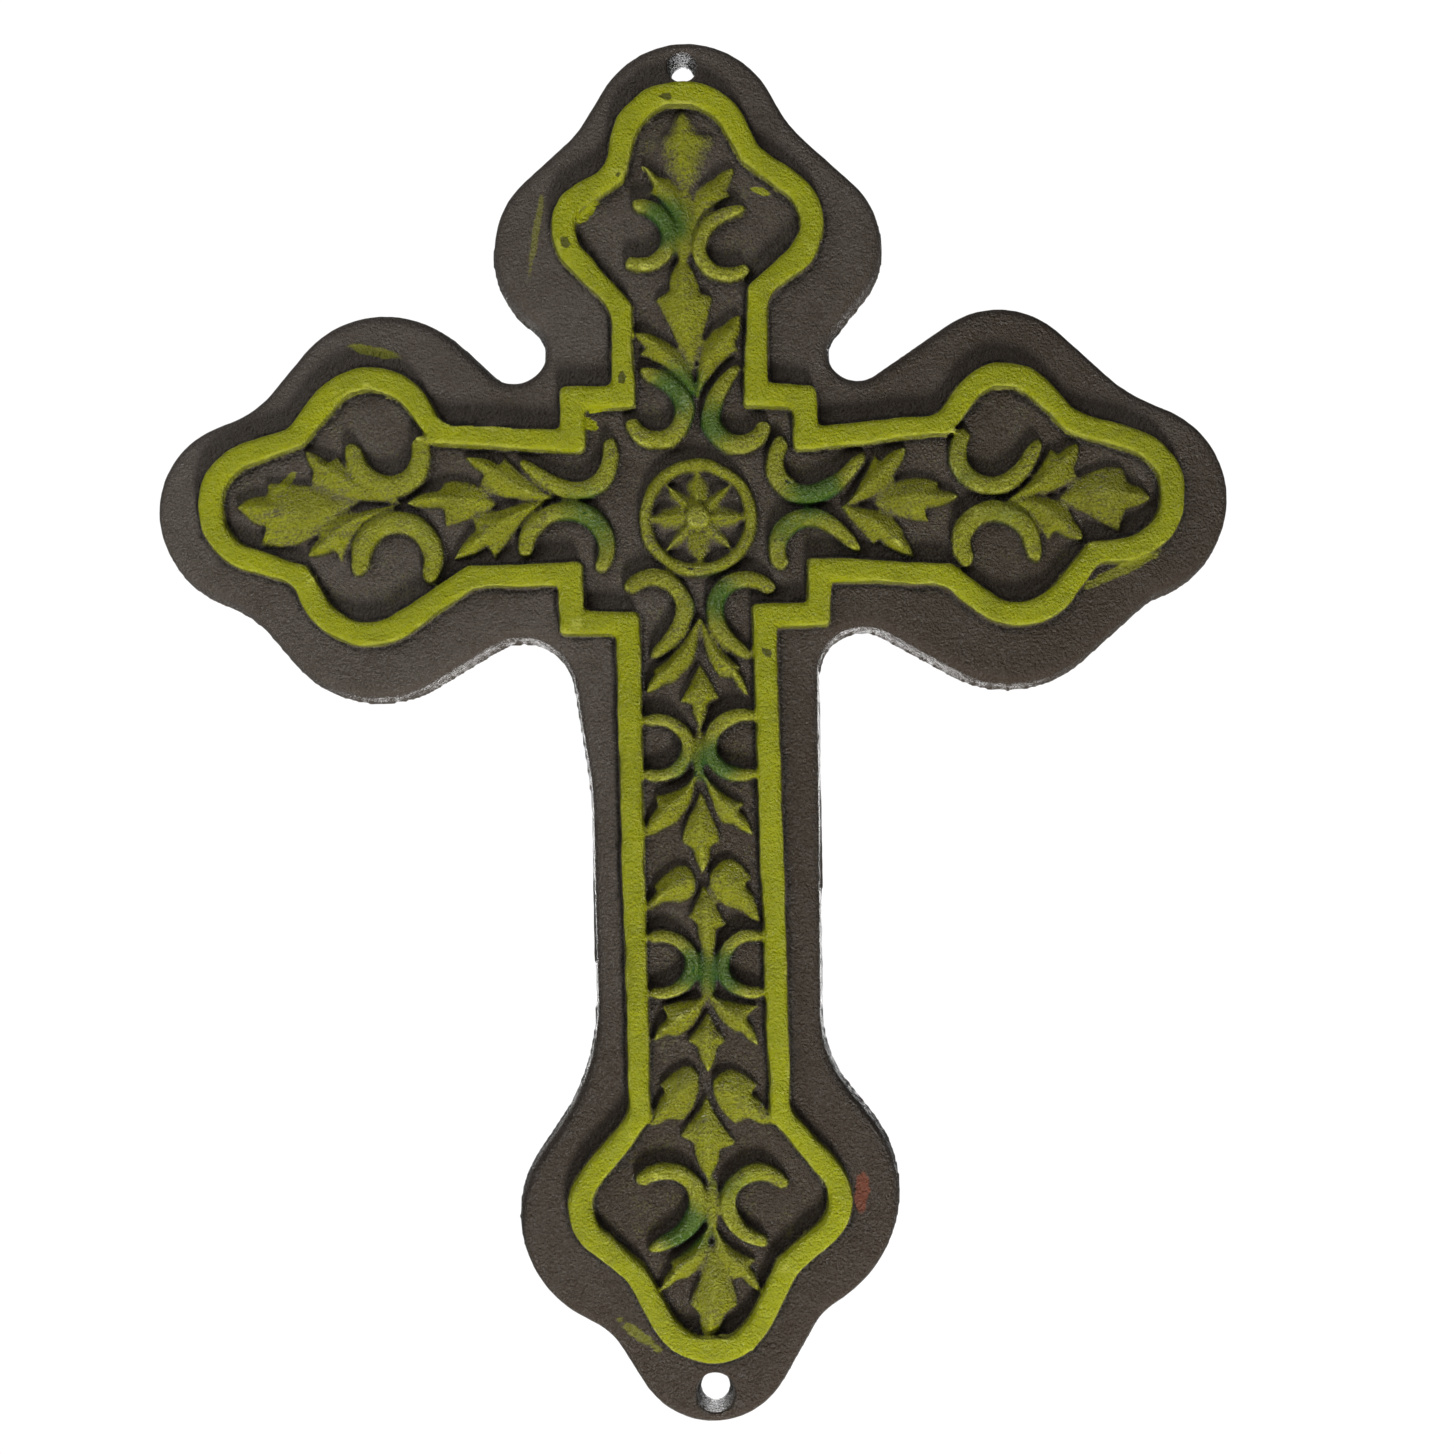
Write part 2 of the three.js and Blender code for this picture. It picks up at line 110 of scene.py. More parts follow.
@dataclass(frozen=True)
class Outline:
    """A closed outline of arcs joined by tangent straight runs, anticlockwise."""

    arcs: tuple[Arc, ...]

    def turns(self) -> list[tuple[float, float, float]]:
        """The heading into each arc, the heading out of it, and the angle swept between.

        Returns:
            One (entering, leaving, sweep) for each arc.
        """
        headings = []
        for here, there in zip(self.arcs, self.arcs[1:] + self.arcs[:1]):
            run = np.array([there.x - here.x, there.y - here.y])
            lean = (there.bend - here.bend) / np.linalg.norm(run)
            headings.append(math.atan2(run[1], run[0]) - math.asin(max(-1.0, min(1.0, lean))))
        found = []
        for i, arc in enumerate(self.arcs):
            way = arc.turn.value or 1
            sweep = way * ((way * (headings[i] - headings[i - 1])) % (2 * math.pi))
            found.append((headings[i - 1], headings[i], sweep))
        return found

    def trace(self) -> np.ndarray:
        """Points round the outline, close together on the arcs.

        Returns:
            An array with one row of x and y for each point.
        """
        points = []
        for arc, (entering, _, sweep) in zip(self.arcs, self.turns()):
            steps = max(2, round(abs(sweep) / ARC_STEP)) if arc.radius else 0
            for step in range(steps + 1):
                heading = entering + sweep * step / max(1, steps)
                points.append(np.array([arc.x, arc.y]) + outwards(heading) * arc.bend)
        return np.array(points)

    def drawn_in(self, width: float, cusp: float) -> "Outline":
        """The outline's parallel on its inside, with its hollows sharpened into cusps.

        Args:
            width: How far it is drawn in.
            cusp: The radius that each hollow is left with.

        Returns:
            The inner outline.
        """
        inner = []
        for arc, (entering, leaving, sweep) in zip(self.arcs, self.turns()):
            if arc.turn is Turn.LOBE:
                inner.append(lobe(arc.x, arc.y, arc.radius - width))
            elif arc.turn is Turn.HOLLOW:
                shift = -outwards(entering + sweep / 2) * (arc.radius + width - cusp)
                inner.append(hollow(arc.x + shift[0], arc.y + shift[1], cusp))
            else:
                shift = -mitre(entering, leaving) * width
                inner.append(corner(arc.x + shift[0], arc.y + shift[1]))
        return Outline(tuple(inner))

    def distance(self, points: np.ndarray) -> np.ndarray:
        """Distance of points from the outline, negative inside it.

        Args:
            points: An array with one row of x and y for each point.

        Returns:
            One signed distance for each point.
        """
        start = self.trace()
        run = np.roll(start, -1, axis=0) - start
        length = np.maximum((run ** 2).sum(1), 1e-12)
        found = np.empty(len(points))
        for part in np.array_split(np.arange(len(points)), max(1, len(points) // 4000)):
            gap = points[part, None, :] - start[None]
            share = np.clip((gap * run).sum(2) / length, 0, 1)
            off = gap - share[..., None] * run
            nearest = np.sqrt((off ** 2).sum(2).min(1))
            above = gap[..., 1] >= 0
            crossing = above != np.roll(above, -1, axis=1)
            side = run[:, 0] * gap[..., 1] - run[:, 1] * gap[..., 0]
            inside = (crossing & ((side > 0) == (run[:, 1] > 0))).sum(1) % 2 == 1
            found[part] = np.where(inside, -nearest, nearest)
        return found


class Bench:
    """The modelling tools, used as by hand: one object at a time, shaped in edit mode."""

    @staticmethod
    def clear() -> None:
        """Deselects everything."""
        bpy.ops.object.select_all(action="DESELECT")

    @staticmethod
    def take(piece: bpy.types.Object) -> None:
        """Selects one object alone and makes it active."""
        Bench.clear()
        piece.select_set(True)
        bpy.context.view_layer.objects.active = piece

    @staticmethod
    @contextmanager
    def editing(piece: bpy.types.Object) -> Iterator[None]:
        """Edit mode on one object, with all of it selected."""
        Bench.take(piece)
        bpy.ops.object.mode_set(mode="EDIT")
        bpy.ops.mesh.select_all(action="SELECT")
        yield
        bpy.ops.object.mode_set(mode="OBJECT")

    @staticmethod
    def named(name: str) -> bpy.types.Object:
        """Names the new primitive, and its mesh, and returns it."""
        piece = bpy.context.active_object
        piece.name = piece.data.name = name
        return piece

    @staticmethod
    def places(piece: bpy.types.Object) -> np.ndarray:
        """The vertices of an object as an array with one row for each."""
        flat = np.empty(len(piece.data.vertices) * 3)
        piece.data.vertices.foreach_get("co", flat)
        return flat.reshape(-1, 3)

    @staticmethod
    def place(piece: bpy.types.Object, points: np.ndarray) -> None:
        """Moves the vertices of an object to the given places."""
        piece.data.vertices.foreach_set("co", np.asarray(points, float).ravel())
        piece.data.update()

    @staticmethod
    def ring(name: str, points: np.ndarray, height: float, fill: str) -> bpy.types.Object:
        """A circle primitive drawn out to a flat outline.

        Args:
            name: The object's name.
            points: The outline's x and y.
            height: The outline's z.
            fill: The primitive's kind of fill, NGON or NOTHING.

        Returns:
            The new object.
        """
        Bench.clear()
        bpy.ops.mesh.primitive_circle_add(vertices=len(points), fill_type=fill)
        piece = Bench.named(name)
        Bench.place(piece, np.column_stack([points, np.full(len(points), height)]))
        return piece

    @staticmethod
    def raise_up(height: float) -> None:
        """Extrudes the selected faces along z."""
        bpy.ops.mesh.extrude_region_move(TRANSFORM_OT_translate={"value": (0, 0, height)})

    @staticmethod
    def turn_faces_out(piece: bpy.types.Object) -> None:
        """Makes an object's faces point outwards."""
        with Bench.editing(piece):
            bpy.ops.mesh.normals_make_consistent(inside=False)

    @staticmethod
    def finish(piece: bpy.types.Object, kind: str, **settings: object) -> None:
        """Adds a modifier with its settings and applies it.

        Args:
            piece: The object to change.
            kind: The modifier's type.
            settings: Values of the modifier's properties.
        """
        Bench.take(piece)
        modifier = piece.modifiers.new(kind.title(), kind)
        for name, value in settings.items():
            setattr(modifier, name, value)
        bpy.ops.object.modifier_apply(modifier=modifier.name)

    @staticmethod
    def copy(piece: bpy.types.Object, matrix: Matrix) -> bpy.types.Object:
        """A copy of an object with a mesh of its own, moved by a matrix."""
        twin = piece.copy()
        twin.data = piece.data.copy()
        twin.data.transform(matrix)
        bpy.context.scene.collection.objects.link(twin)
        return twin

    @staticmethod
    def join(name: str, pieces: Sequence[bpy.types.Object]) -> bpy.types.Object:
        """Joins objects into the first of them and names it."""
        Bench.take(pieces[0])
        for piece in pieces:
            piece.select_set(True)
        bpy.ops.object.join()
        return Bench.named(name)


def smooth(low: float, high: float, value: np.ndarray) -> np.ndarray:
    """A smooth step from 0 at low to 1 at high."""
    share = np.clip((value - low) / (high - low), 0, 1)
    return share * share * (3 - 2 * share)


@dataclass(frozen=True)
class ScrewHole:
    """A tapered hole through the plate."""

    x: float
    y: float
    front_radius: float
    back_radius: float
    overrun: float = 1.0
    sides: int = 48

    def cutter(self) -> bpy.types.Object:
        """A cone that is carried past both faces of the plate."""
        slope = (self.front_radius - self.back_radius) / PLATE_THICKNESS
        Bench.clear()
        bpy.ops.mesh.primitive_cone_add(
            vertices=self.sides,
            radius1=self.back_radius - slope * self.overrun,
            radius2=self.front_radius + slope * self.overrun,
            depth=PLATE_THICKNESS + 2 * self.overrun,
            location=(self.x, self.y, PLATE_THICKNESS / 2),
        )
        cone = Bench.named("hole_cutter")
        bpy.ops.object.transform_apply(location=True, rotation=False, scale=False)
        return cone


@dataclass(frozen=True)
class Plate:
    """The drafted plate that carries the relief, with its two screw holes."""

    outline: Outline
    holes: tuple[ScrewHole, ...]
    # steps of the wall from the back to the rounded front edge: drawn in by, and higher by
    wall: tuple[Point, ...] = (
        (0.3, 0.4), (0.5, 3.0), (0.35, 1.9), (0.4, 0.8), (0.55, 0.5), (0.8, 0.32), (1.0, 0.08)
    )

    def build(self) -> bpy.types.Object:
        """Draws the outline, raises it step by step and cuts the holes."""
        plate = Bench.ring("plate", self.outline.trace(), 0.0, "NGON")
        with Bench.editing(plate):
            bpy.ops.mesh.normals_make_consistent(inside=False)
            Bench.raise_up(0.0)
            for inset, rise in self.wall:
                bpy.ops.mesh.inset(thickness=inset, depth=0)
                bpy.ops.transform.translate(value=(0, 0, rise))
        Bench.turn_faces_out(plate)
        for hole in self.holes:
            cutter = hole.cutter()
            Bench.finish(plate, "BOOLEAN", operation="DIFFERENCE", object=cutter, solver="EXACT")
            bpy.data.objects.remove(cutter)
        return plate


@dataclass(frozen=True)
class Band:
    """The raised band that follows the plate's outline."""

    outline: Outline
    width: float = 5.2
    height: float = 2.8
    cusp: float = 1.6
    rounding: float = 1.35

    @property
    def inner(self) -> Outline:
        """The band's inner edge."""
        return self.outline.drawn_in(self.width, self.cusp)

    def build(self) -> bpy.types.Object:
        """Fills the space between the two edges, raises it and rounds its edges."""
        foot = PLATE_THICKNESS - RELIEF_SINK
        edges = [
            Bench.ring("edge", outline.trace(), foot, "NOTHING") for outline in (self.outline, self.inner)
        ]
        band = Bench.join("band", edges)
        with Bench.editing(band):
            bpy.ops.mesh.fill(use_beauty=False)
            Bench.raise_up(RELIEF_SINK + self.height)
        Bench.turn_faces_out(band)
        Bench.finish(
            band, "BEVEL", width=self.rounding, segments=4, limit_method="ANGLE",
            angle_limit=math.radians(50), use_clamp_overlap=False,
        )
        return band


@dataclass(frozen=True)
class Edge:
    """One side of a leaf's rim: its belly, the point of its tooth and the notch behind the tooth."""

    belly: Point
    tooth: Point
    notch: Point

    # shares of the way along the leaf at which its teeth and its notches are
    TOOTH_AT = 0.55
    NOTCH_AT = 0.68
    # how far the run from the notch to the tip swells, as a share of its length
    SWELL = 0.1

    def walk(self, root: Point, tip: Point, share: np.ndarray) -> np.ndarray:
        """Points along the edge: over the belly to the tooth, back to the notch, and a swell out to the tip.

        Args:
            root: Where the edge starts.
            tip: Where it ends.
            share: Shares of the way from the root to the tip.

        Returns:
            One row of x and y for each share.
        """
        stops = (root, self.belly, self.tooth, self.notch, tip)
        start, belly, tooth, notch, end = (np.array(stop) for stop in stops)
        pull = 2 * belly - (start + tooth) / 2
        t = np.clip(share / self.TOOTH_AT, 0, 1)[:, None]
        curve = (1 - t) ** 2 * start + 2 * t * (1 - t) * pull + t ** 2 * tooth
        back = np.clip((share - self.TOOTH_AT) / (self.NOTCH_AT - self.TOOTH_AT), 0, 1)[:, None]
        out = np.clip((share - self.NOTCH_AT) / (1 - self.NOTCH_AT), 0, 1)[:, None]
        swell = np.array((notch[1] - end[1], end[0] - notch[0])) * self.SWELL
        axis = (end - start) / np.linalg.norm(end - start)
        swell *= np.sign(swell @ (notch - start - axis * (axis @ (notch - start))))
        return curve + back * (notch - tooth) + out * (end - notch) + 4 * out * (1 - out) * swell


@dataclass(frozen=True)
class Leaf:
    """A toothed leaf that swells to a crest, with an edge on each side from its root to its tip."""

    root: Point
    outer: Edge
    tip: Point
    inner: Edge
    height: float = 2.6
    edge_height: float = 0.9
    # height of the crest at shares of the way along the leaf, as shares of its height
    crest: tuple[Point, ...] = ((0.0, 0.5), (0.2, 0.82), (0.42, 1.0), (0.7, 0.95), (1.0, 0.5))
    fullness: float = 1.1
    rows: int = 48
    columns: int = 12

    def spine(self, share: np.ndarray) -> np.ndarray:
        """Points on the crest, half way between the two edges."""
        middles = [(np.add(*pair) / 2) for pair in (
            (self.outer.belly, self.inner.belly), (self.outer.notch, self.inner.notch)
        )]
        stops = np.array([self.root, *middles, self.tip])
        at = (0.0, 0.3, Edge.NOTCH_AT, 1.0)
        return np.column_stack([np.interp(share, at, stops[:, i]) for i in (0, 1)])

    def build(self) -> bpy.types.Object:
        """Lays a grid between the edges and the crest, and gives it a body down into the plate."""
        Bench.clear()
        bpy.ops.mesh.primitive_grid_add(x_subdivisions=self.rows, y_subdivisions=self.columns, size=2)
        leaf = Bench.named("leaf")
        grid = Bench.places(leaf)
        along = (grid[:, 0] + 1) / 2
        across = np.abs(grid[:, 1])
        outer = self.outer.walk(self.root, self.tip, along)
        inner = self.inner.walk(self.root, self.tip, along)
        edge = np.where(grid[:, 1:2] >= 0, outer, inner)
        spine = self.spine(along)
        flat = spine + (edge - spine) * across[:, None]
        crest = np.interp(along, *np.array(self.crest).T) * self.height
        low = np.minimum(self.edge_height, crest)
        rise = low + (crest - low) * (1 - across ** self.fullness)
        Bench.place(leaf, np.column_stack([flat, PLATE_THICKNESS + rise]))
        with Bench.editing(leaf):
            Bench.raise_up(-(RELIEF_SINK + self.height))
        return leaf


class Side(Enum):
    """The side of an arm's axis that a scroll lies on, seen from the crossing outwards."""

    LEFT = 1
    RIGHT = -1


@dataclass(frozen=True)
class Scroll:
    """A rounded ridge on an arc whose bend faces the arm's axis, curled at one end and run out at the other."""

    side: Side
    centre: Point
    radius: float
    half_width: float
    # how far the arc goes round from its bend to either end, in degrees
    curl: float
    run_out: float
    # the arc's reach at either end, as a share of its radius
    curl_reach: float = 1.0
    run_reach: float = 1.0
    # how much emerald is glazed over it, and where, in degrees from the bend towards the outer end
    glaze: float = 0.0
    glaze_at: float = 0.0
    height: float = 2.6
    taper: float = 0.22
    end_rounding: float = 0.05
    steps: int = 44
    # the section above the plate, as shares of the half width and of the height
    section: tuple[Point, ...] = (
        (1.0, 0.0), (0.97, 0.34), (0.84, 0.68), (0.58, 0.91), (0.22, 1.0),
        (-0.22, 1.0), (-0.58, 0.91), (-0.84, 0.68), (-0.97, 0.34), (-1.0, 0.0),
    )

    @property
    def place(self) -> Matrix:
        """From the arc's own frame, with its bend on x, to the arm."""
        face = Matrix(((0, 1, 0, 0), (-self.side.value, 0, 0, 0), (0, 0, 1, 0), (0, 0, 0, 1)))
        return Matrix.Translation((*self.centre, 0)) @ face

    @property
    def glaze_place(self) -> Vector:
        """Where the glaze is strongest."""
        angle = math.radians(self.glaze_at)
        return self.place @ Vector((self.radius * math.cos(angle), self.radius * math.sin(angle), 0))

    def build(self) -> bpy.types.Object:
        """Spins the section round the arc, closes its ends and draws them in."""
        loop = [(-1.0, -RELIEF_SINK), (1.0, -RELIEF_SINK)]
        loop += [(aside, share * self.height) for aside, share in self.section]
        Bench.clear()
        bpy.ops.mesh.primitive_circle_add(vertices=len(loop), fill_type="NOTHING")
        scroll = Bench.named("scroll")
        start = Matrix.Rotation(-math.radians(self.curl), 3, "Z")
        section = [start @ Vector((self.radius + aside * self.half_width, 0, z)) for aside, z in loop]
        Bench.place(scroll, np.array(section))
        with Bench.editing(scroll):
            bpy.ops.mesh.spin(
                steps=self.steps, angle=-math.radians(self.curl + self.run_out), center=(0, 0, 0),
                axis=(0, 0, 1)
            )
            bpy.ops.mesh.select_all(action="SELECT")
            bpy.ops.mesh.fill_holes(sides=0)
        self.draw_ends(scroll)
        scroll.data.transform(self.place)
        return scroll

    def draw_ends(self, scroll: bpy.types.Object) -> None:
        """Opens or closes the arc towards its ends and rounds the ends."""
        at = Bench.places(scroll)
        angle = np.arctan2(at[:, 1], at[:, 0])
        degrees = np.degrees(angle)
        share = (degrees + self.curl) / (self.curl + self.run_out)
        aside = np.hypot(at[:, 0], at[:, 1]) - self.radius
        to_end = np.clip(np.minimum(share, 1 - share) / self.end_rounding, 0, 1)
        full = (1 - self.taper * np.abs(2 * share - 1) ** 4) * (0.4 + 0.6 * np.sqrt(1 - (1 - to_end) ** 2))
        open_out = 1 + (self.run_reach - 1) * np.clip(degrees / self.run_out, 0, 1) ** 3
        open_out += (self.curl_reach - 1) * np.clip(-degrees / self.curl, 0, 1) ** 3
        reach = self.radius * open_out + aside * full
        rise = np.where(at[:, 2] > 0, at[:, 2] * full, at[:, 2])
        across, up = reach * np.cos(angle), reach * np.sin(angle)
        Bench.place(scroll, np.column_stack([across, up, PLATE_THICKNESS + rise]))


@dataclass(frozen=True)
class Stalk:
    """A low mound on an arm's axis that joins one spray to the next."""

    start: Point
    end: Point
    half_width: float
    height: float = 1.5

    def build(self) -> bpy.types.Object:
        """Stretches a ball between its ends."""
        run = Vector(self.end) - Vector(self.start)
        Bench.clear()
        bpy.ops.mesh.primitive_uv_sphere_add(segments=32, ring_count=16, radius=1)
        stalk = Bench.named("stalk")
        middle = (Vector(self.start) + Vector(self.end)) / 2
        stalk.data.transform(
            Matrix.Translation((*middle, PLATE_THICKNESS))
            @ Matrix.Rotation(math.atan2(run.y, run.x), 4, "Z")
            @ Matrix.Diagonal((run.length / 2, self.half_width, self.height, 1))
        )
        return stalk


@dataclass(frozen=True)
class Arm:
    """One arm's relief, drawn along the x axis from the medallion outwards and turned to the arm's angle."""

    angle: float
    scrolls: tuple[Scroll, ...]
    leaves: tuple[Leaf, ...]
    stalks: tuple[Stalk, ...] = ()

    @property
    def turn(self) -> Matrix:
        """The turn from the x axis to the arm."""
        return Matrix.Rotation(self.angle, 4, "Z")

    def build(self) -> list[bpy.types.Object]:
        """Models the forms and turns them to the arm."""
        pieces = [form.build() for form in (*self.scrolls, *self.leaves, *self.stalks)]
        for piece in pieces:
            piece.data.transform(self.turn)
        return pieces

    def glazes(self) -> Iterator[tuple[np.ndarray, float, float]]:
        """The glazed scrolls: where the glaze is on the bench, how far it spreads and how strong it is."""
        for scroll in self.scrolls:
            yield np.array((self.turn @ scroll.glaze_place).xy), scroll.radius, scroll.glaze


@dataclass(frozen=True)
class Medallion:
    """The ring at the crossing, with the star and the boss inside it."""

    ring_radius: float = 11.3
    ring_half_width: float = 1.6
    ring_height: float = 2.2
    points: int = 8
    long_point: Point = (10.4, 3.3)
    short_point: Point = (9.5, 1.9)
    star_height: float = 2.2
    star_crest: tuple[Point, ...] = ((0.0, 0.25), (0.24, 0.4), (0.45, 1.0), (1.0, 0.65))
    boss_radius: float = 2.5
    boss_height: float = 3.2

    def ring(self) -> bpy.types.Object:
        """A torus, flattened to the ring's height."""
        Bench.clear()
        bpy.ops.mesh.primitive_torus_add(
            major_radius=self.ring_radius, minor_radius=self.ring_half_width, major_segments=96,
            minor_segments=20,
        )
        ring = Bench.named("ring")
        with Bench.editing(ring):
            bpy.ops.transform.resize(value=(1, 1, self.ring_height / self.ring_half_width))
            bpy.ops.transform.translate(value=(0, 0, PLATE_THICKNESS))
        return ring

    def star(self) -> list[bpy.types.Object]:
        """One long and one short point, each copied round the boss."""
        points = []
        for first, (reach, half_width) in enumerate((self.long_point, self.short_point)):
            left, right = (
                Edge((0.2 * reach, side * 0.62 * half_width), (0.42 * reach, side * half_width),
                     (0.6 * reach, side * 0.8 * half_width))
                for side in (1, -1)
            )
            pattern = Leaf(
                (0.0, 0.0), left, (reach, 0.0), right, self.star_height, 0.4, self.star_crest, 1.1
            ).build()
            for i in range(first, self.points, 2):
                points.append(Bench.copy(pattern, Matrix.Rotation(i * 2 * math.pi / self.points, 4, "Z")))
            bpy.data.objects.remove(pattern)
        return points

    def boss(self) -> bpy.types.Object:
        """A cylinder with a rounded top."""
        Bench.clear()
        depth = RELIEF_SINK + self.boss_height
        middle = PLATE_THICKNESS - RELIEF_SINK + depth / 2
        bpy.ops.mesh.primitive_cylinder_add(vertices=32, radius=self.boss_radius, depth=depth)
        boss = Bench.named("boss")
        with Bench.editing(boss):
            bpy.ops.transform.translate(value=(0, 0, middle))
        Bench.finish(boss, "BEVEL", width=1.1, segments=4, limit_method="ANGLE")
        return boss

    def build(self) -> list[bpy.types.Object]:
        """Models the ring, the star and the boss."""
        return [self.ring(), *self.star(), self.boss()]


class Wire:
    """A value in a shader, with arithmetic that adds Math nodes."""

    def __init__(self, shader: "Shader", socket: bpy.types.NodeSocket) -> None:
        """Holds an output socket of a node."""
        self.shader = shader
        self.socket = socket

    def __add__(self, other: "Wire | float") -> "Wire":
        """This value plus another."""
        return self.shader.maths("ADD", self, other)

    __radd__ = __add__

    def __sub__(self, other: "Wire | float") -> "Wire":
        """This value less another."""
        return self.shader.maths("SUBTRACT", self, other)

    def __rsub__(self, other: float) -> "Wire":
        """A number less this value."""
        return self.shader.maths("SUBTRACT", other, self)

    def __mul__(self, other: "Wire | float") -> "Wire":
        """This value times another."""
        return self.shader.maths("MULTIPLY", self, other)

    __rmul__ = __mul__

    def __truediv__(self, other: "Wire | float") -> "Wire":
        """This value over another."""
        return self.shader.maths("DIVIDE", self, other)

    def __neg__(self) -> "Wire":
        """This value with its sign changed."""
        return self.shader.maths("MULTIPLY", self, -1.0)

    def most(self, other: "Wire | float") -> "Wire":
        """The larger of this value and another."""
        return self.shader.maths("MAXIMUM", self, other)

    def step(self, low: float, high: float) -> "Wire":
        """A smooth step, 0 where this value is low and 1 where it is high."""
        if low < high:
            return self.shader.node(
                "ShaderNodeMapRange", 0, {"interpolation_type": "SMOOTHSTEP"}, {0: self, 1: low, 2: high}
            )
        return 1 - self.step(high, low)


class Shader:
    """A material's nodes, made one by one."""

    def __init__(self, name: str) -> None:
        """Makes an empty material."""
        self.material = bpy.data.materials.new(name)
        self.material.use_nodes = True
        self.tree = self.material.node_tree
        self.tree.nodes.clear()
        self.place = self.node("ShaderNodeTexCoord", "Object")

    def node(
        self,
        kind: str,
        output: str | int = 0,
        settings: dict[str, object] | None = None,
        inputs: dict[str | int, object] | None = None,
    ) -> Wire:
        """Adds a node.

        Args:
            kind: The node's type.
            output: The name or number of the output that is wanted.
            settings: Values of the node's properties, set before its sockets.
            inputs: A value or a wire for each socket, by name or number.

        Returns:
            The wanted output.
        """
        made = self.tree.nodes.new(kind)
        for name, value in (settings or {}).items():
            setattr(made, name, value)
        for socket, value in (inputs or {}).items():
            if isinstance(value, Wire):
                self.tree.links.new(value.socket, made.inputs[socket])
            else:
                made.inputs[socket].default_value = value
        return Wire(self, made.outputs[output])

    def maths(self, operation: str, first: Wire | float, second: Wire | float) -> Wire:
        """A Math node on two values."""
        return self.node("ShaderNodeMath", 0, {"operation": operation}, {0: first, 1: second})

    def mix(self, share: Wire | float, under: Wire | Colour, over: Wire | Colour, blend: str = "MIX") -> Wire:
        """One colour laid over another, by a share from 0 to 1."""
        return self.node(
            "ShaderNodeMix", 2, {"data_type": "RGBA", "blend_type": blend}, {0: share, 6: under, 7: over}
        )

    def noise(
        self, grain: float, detail: float = 3.0, roughness: float = 0.55, place: Wire | None = None
    ) -> Wire:
        """Noise from about -1 to 1.

        Args:
            grain: The size of its largest features, in millimetres.
            detail: How many finer layers are added.
            roughness: How strong those layers are.
            place: Coordinates to read it at, where they aren't the object's own.

        Returns:
            The noise.
        """
        made = self.node(
            "ShaderNodeTexNoise", 0, {},
            {
                "Vector": place or self.place,
                "Scale": 1 / (grain * MM),
                "Detail": detail,
                "Roughness": roughness,
            },
        )
        return (made - 0.5) * 3.2

    def stretched(self, turn: float, across: float, along: float) -> Wire:
        """Coordinates for brush streaks.

        Args:
            turn: The streaks' angle in the plane of the cross, in degrees.
            across: How much the streaks are squeezed across their run.
            along: How much they are drawn out along it.

        Returns:
            The turned and stretched coordinates.
        """
        return self.node(
            "ShaderNodeMapping", 0, {"vector_type": "TEXTURE"},
            {"Vector": self.place, "Rotation": (0, -math.radians(turn), 0), "Scale": (along, 1, across)},
        )

    def surfaced(self, surface: Wire) -> bpy.types.Material:
        """The finished material, with a shader as its surface."""
        out = self.tree.nodes.new("ShaderNodeOutputMaterial")
        self.tree.links.new(surface.socket, out.inputs["Surface"])
        return self.material

    def attribute(self, name: str) -> Wire:
        """A value that the mesh holds at each vertex."""
        return self.node("ShaderNodeAttribute", "Fac", {"attribute_name": name})


def srgb(red: int, green: int, blue: int) -> Colour:
    """A colour given as it shows on a screen, from 0 to 255."""
    linear = [
        share / 12.92 if share <= 0.04045 else ((share + 0.055) / 1.055) ** 2.4
        for share in (red / 255, green / 255, blue / 255)
    ]
    return (*linear, 1.0)


@dataclass(frozen=True)
class Smear:
    """A touch of band paint that went astray: its middle, half length and half width, and its slope."""

    x: float
    z: float
    length: float
    width: float
    turn: float
    amount: float = 1.0


class Mark(Enum):
    """The values that the mesh holds for the paint."""

    OUTER = "from_band_outside"
    INNER = "from_band_inside"
    # how deep a crevice is, negative on ridges: it drives the painted shade in crevices and the painted
    # highlights on rims
    CREVICE = "crevice"
    # how steep the surface is: it drives the painted shade on steep walls
    SLOPE = "slope"
    FRONT = "front"
    GLAZE = "emerald_glaze"


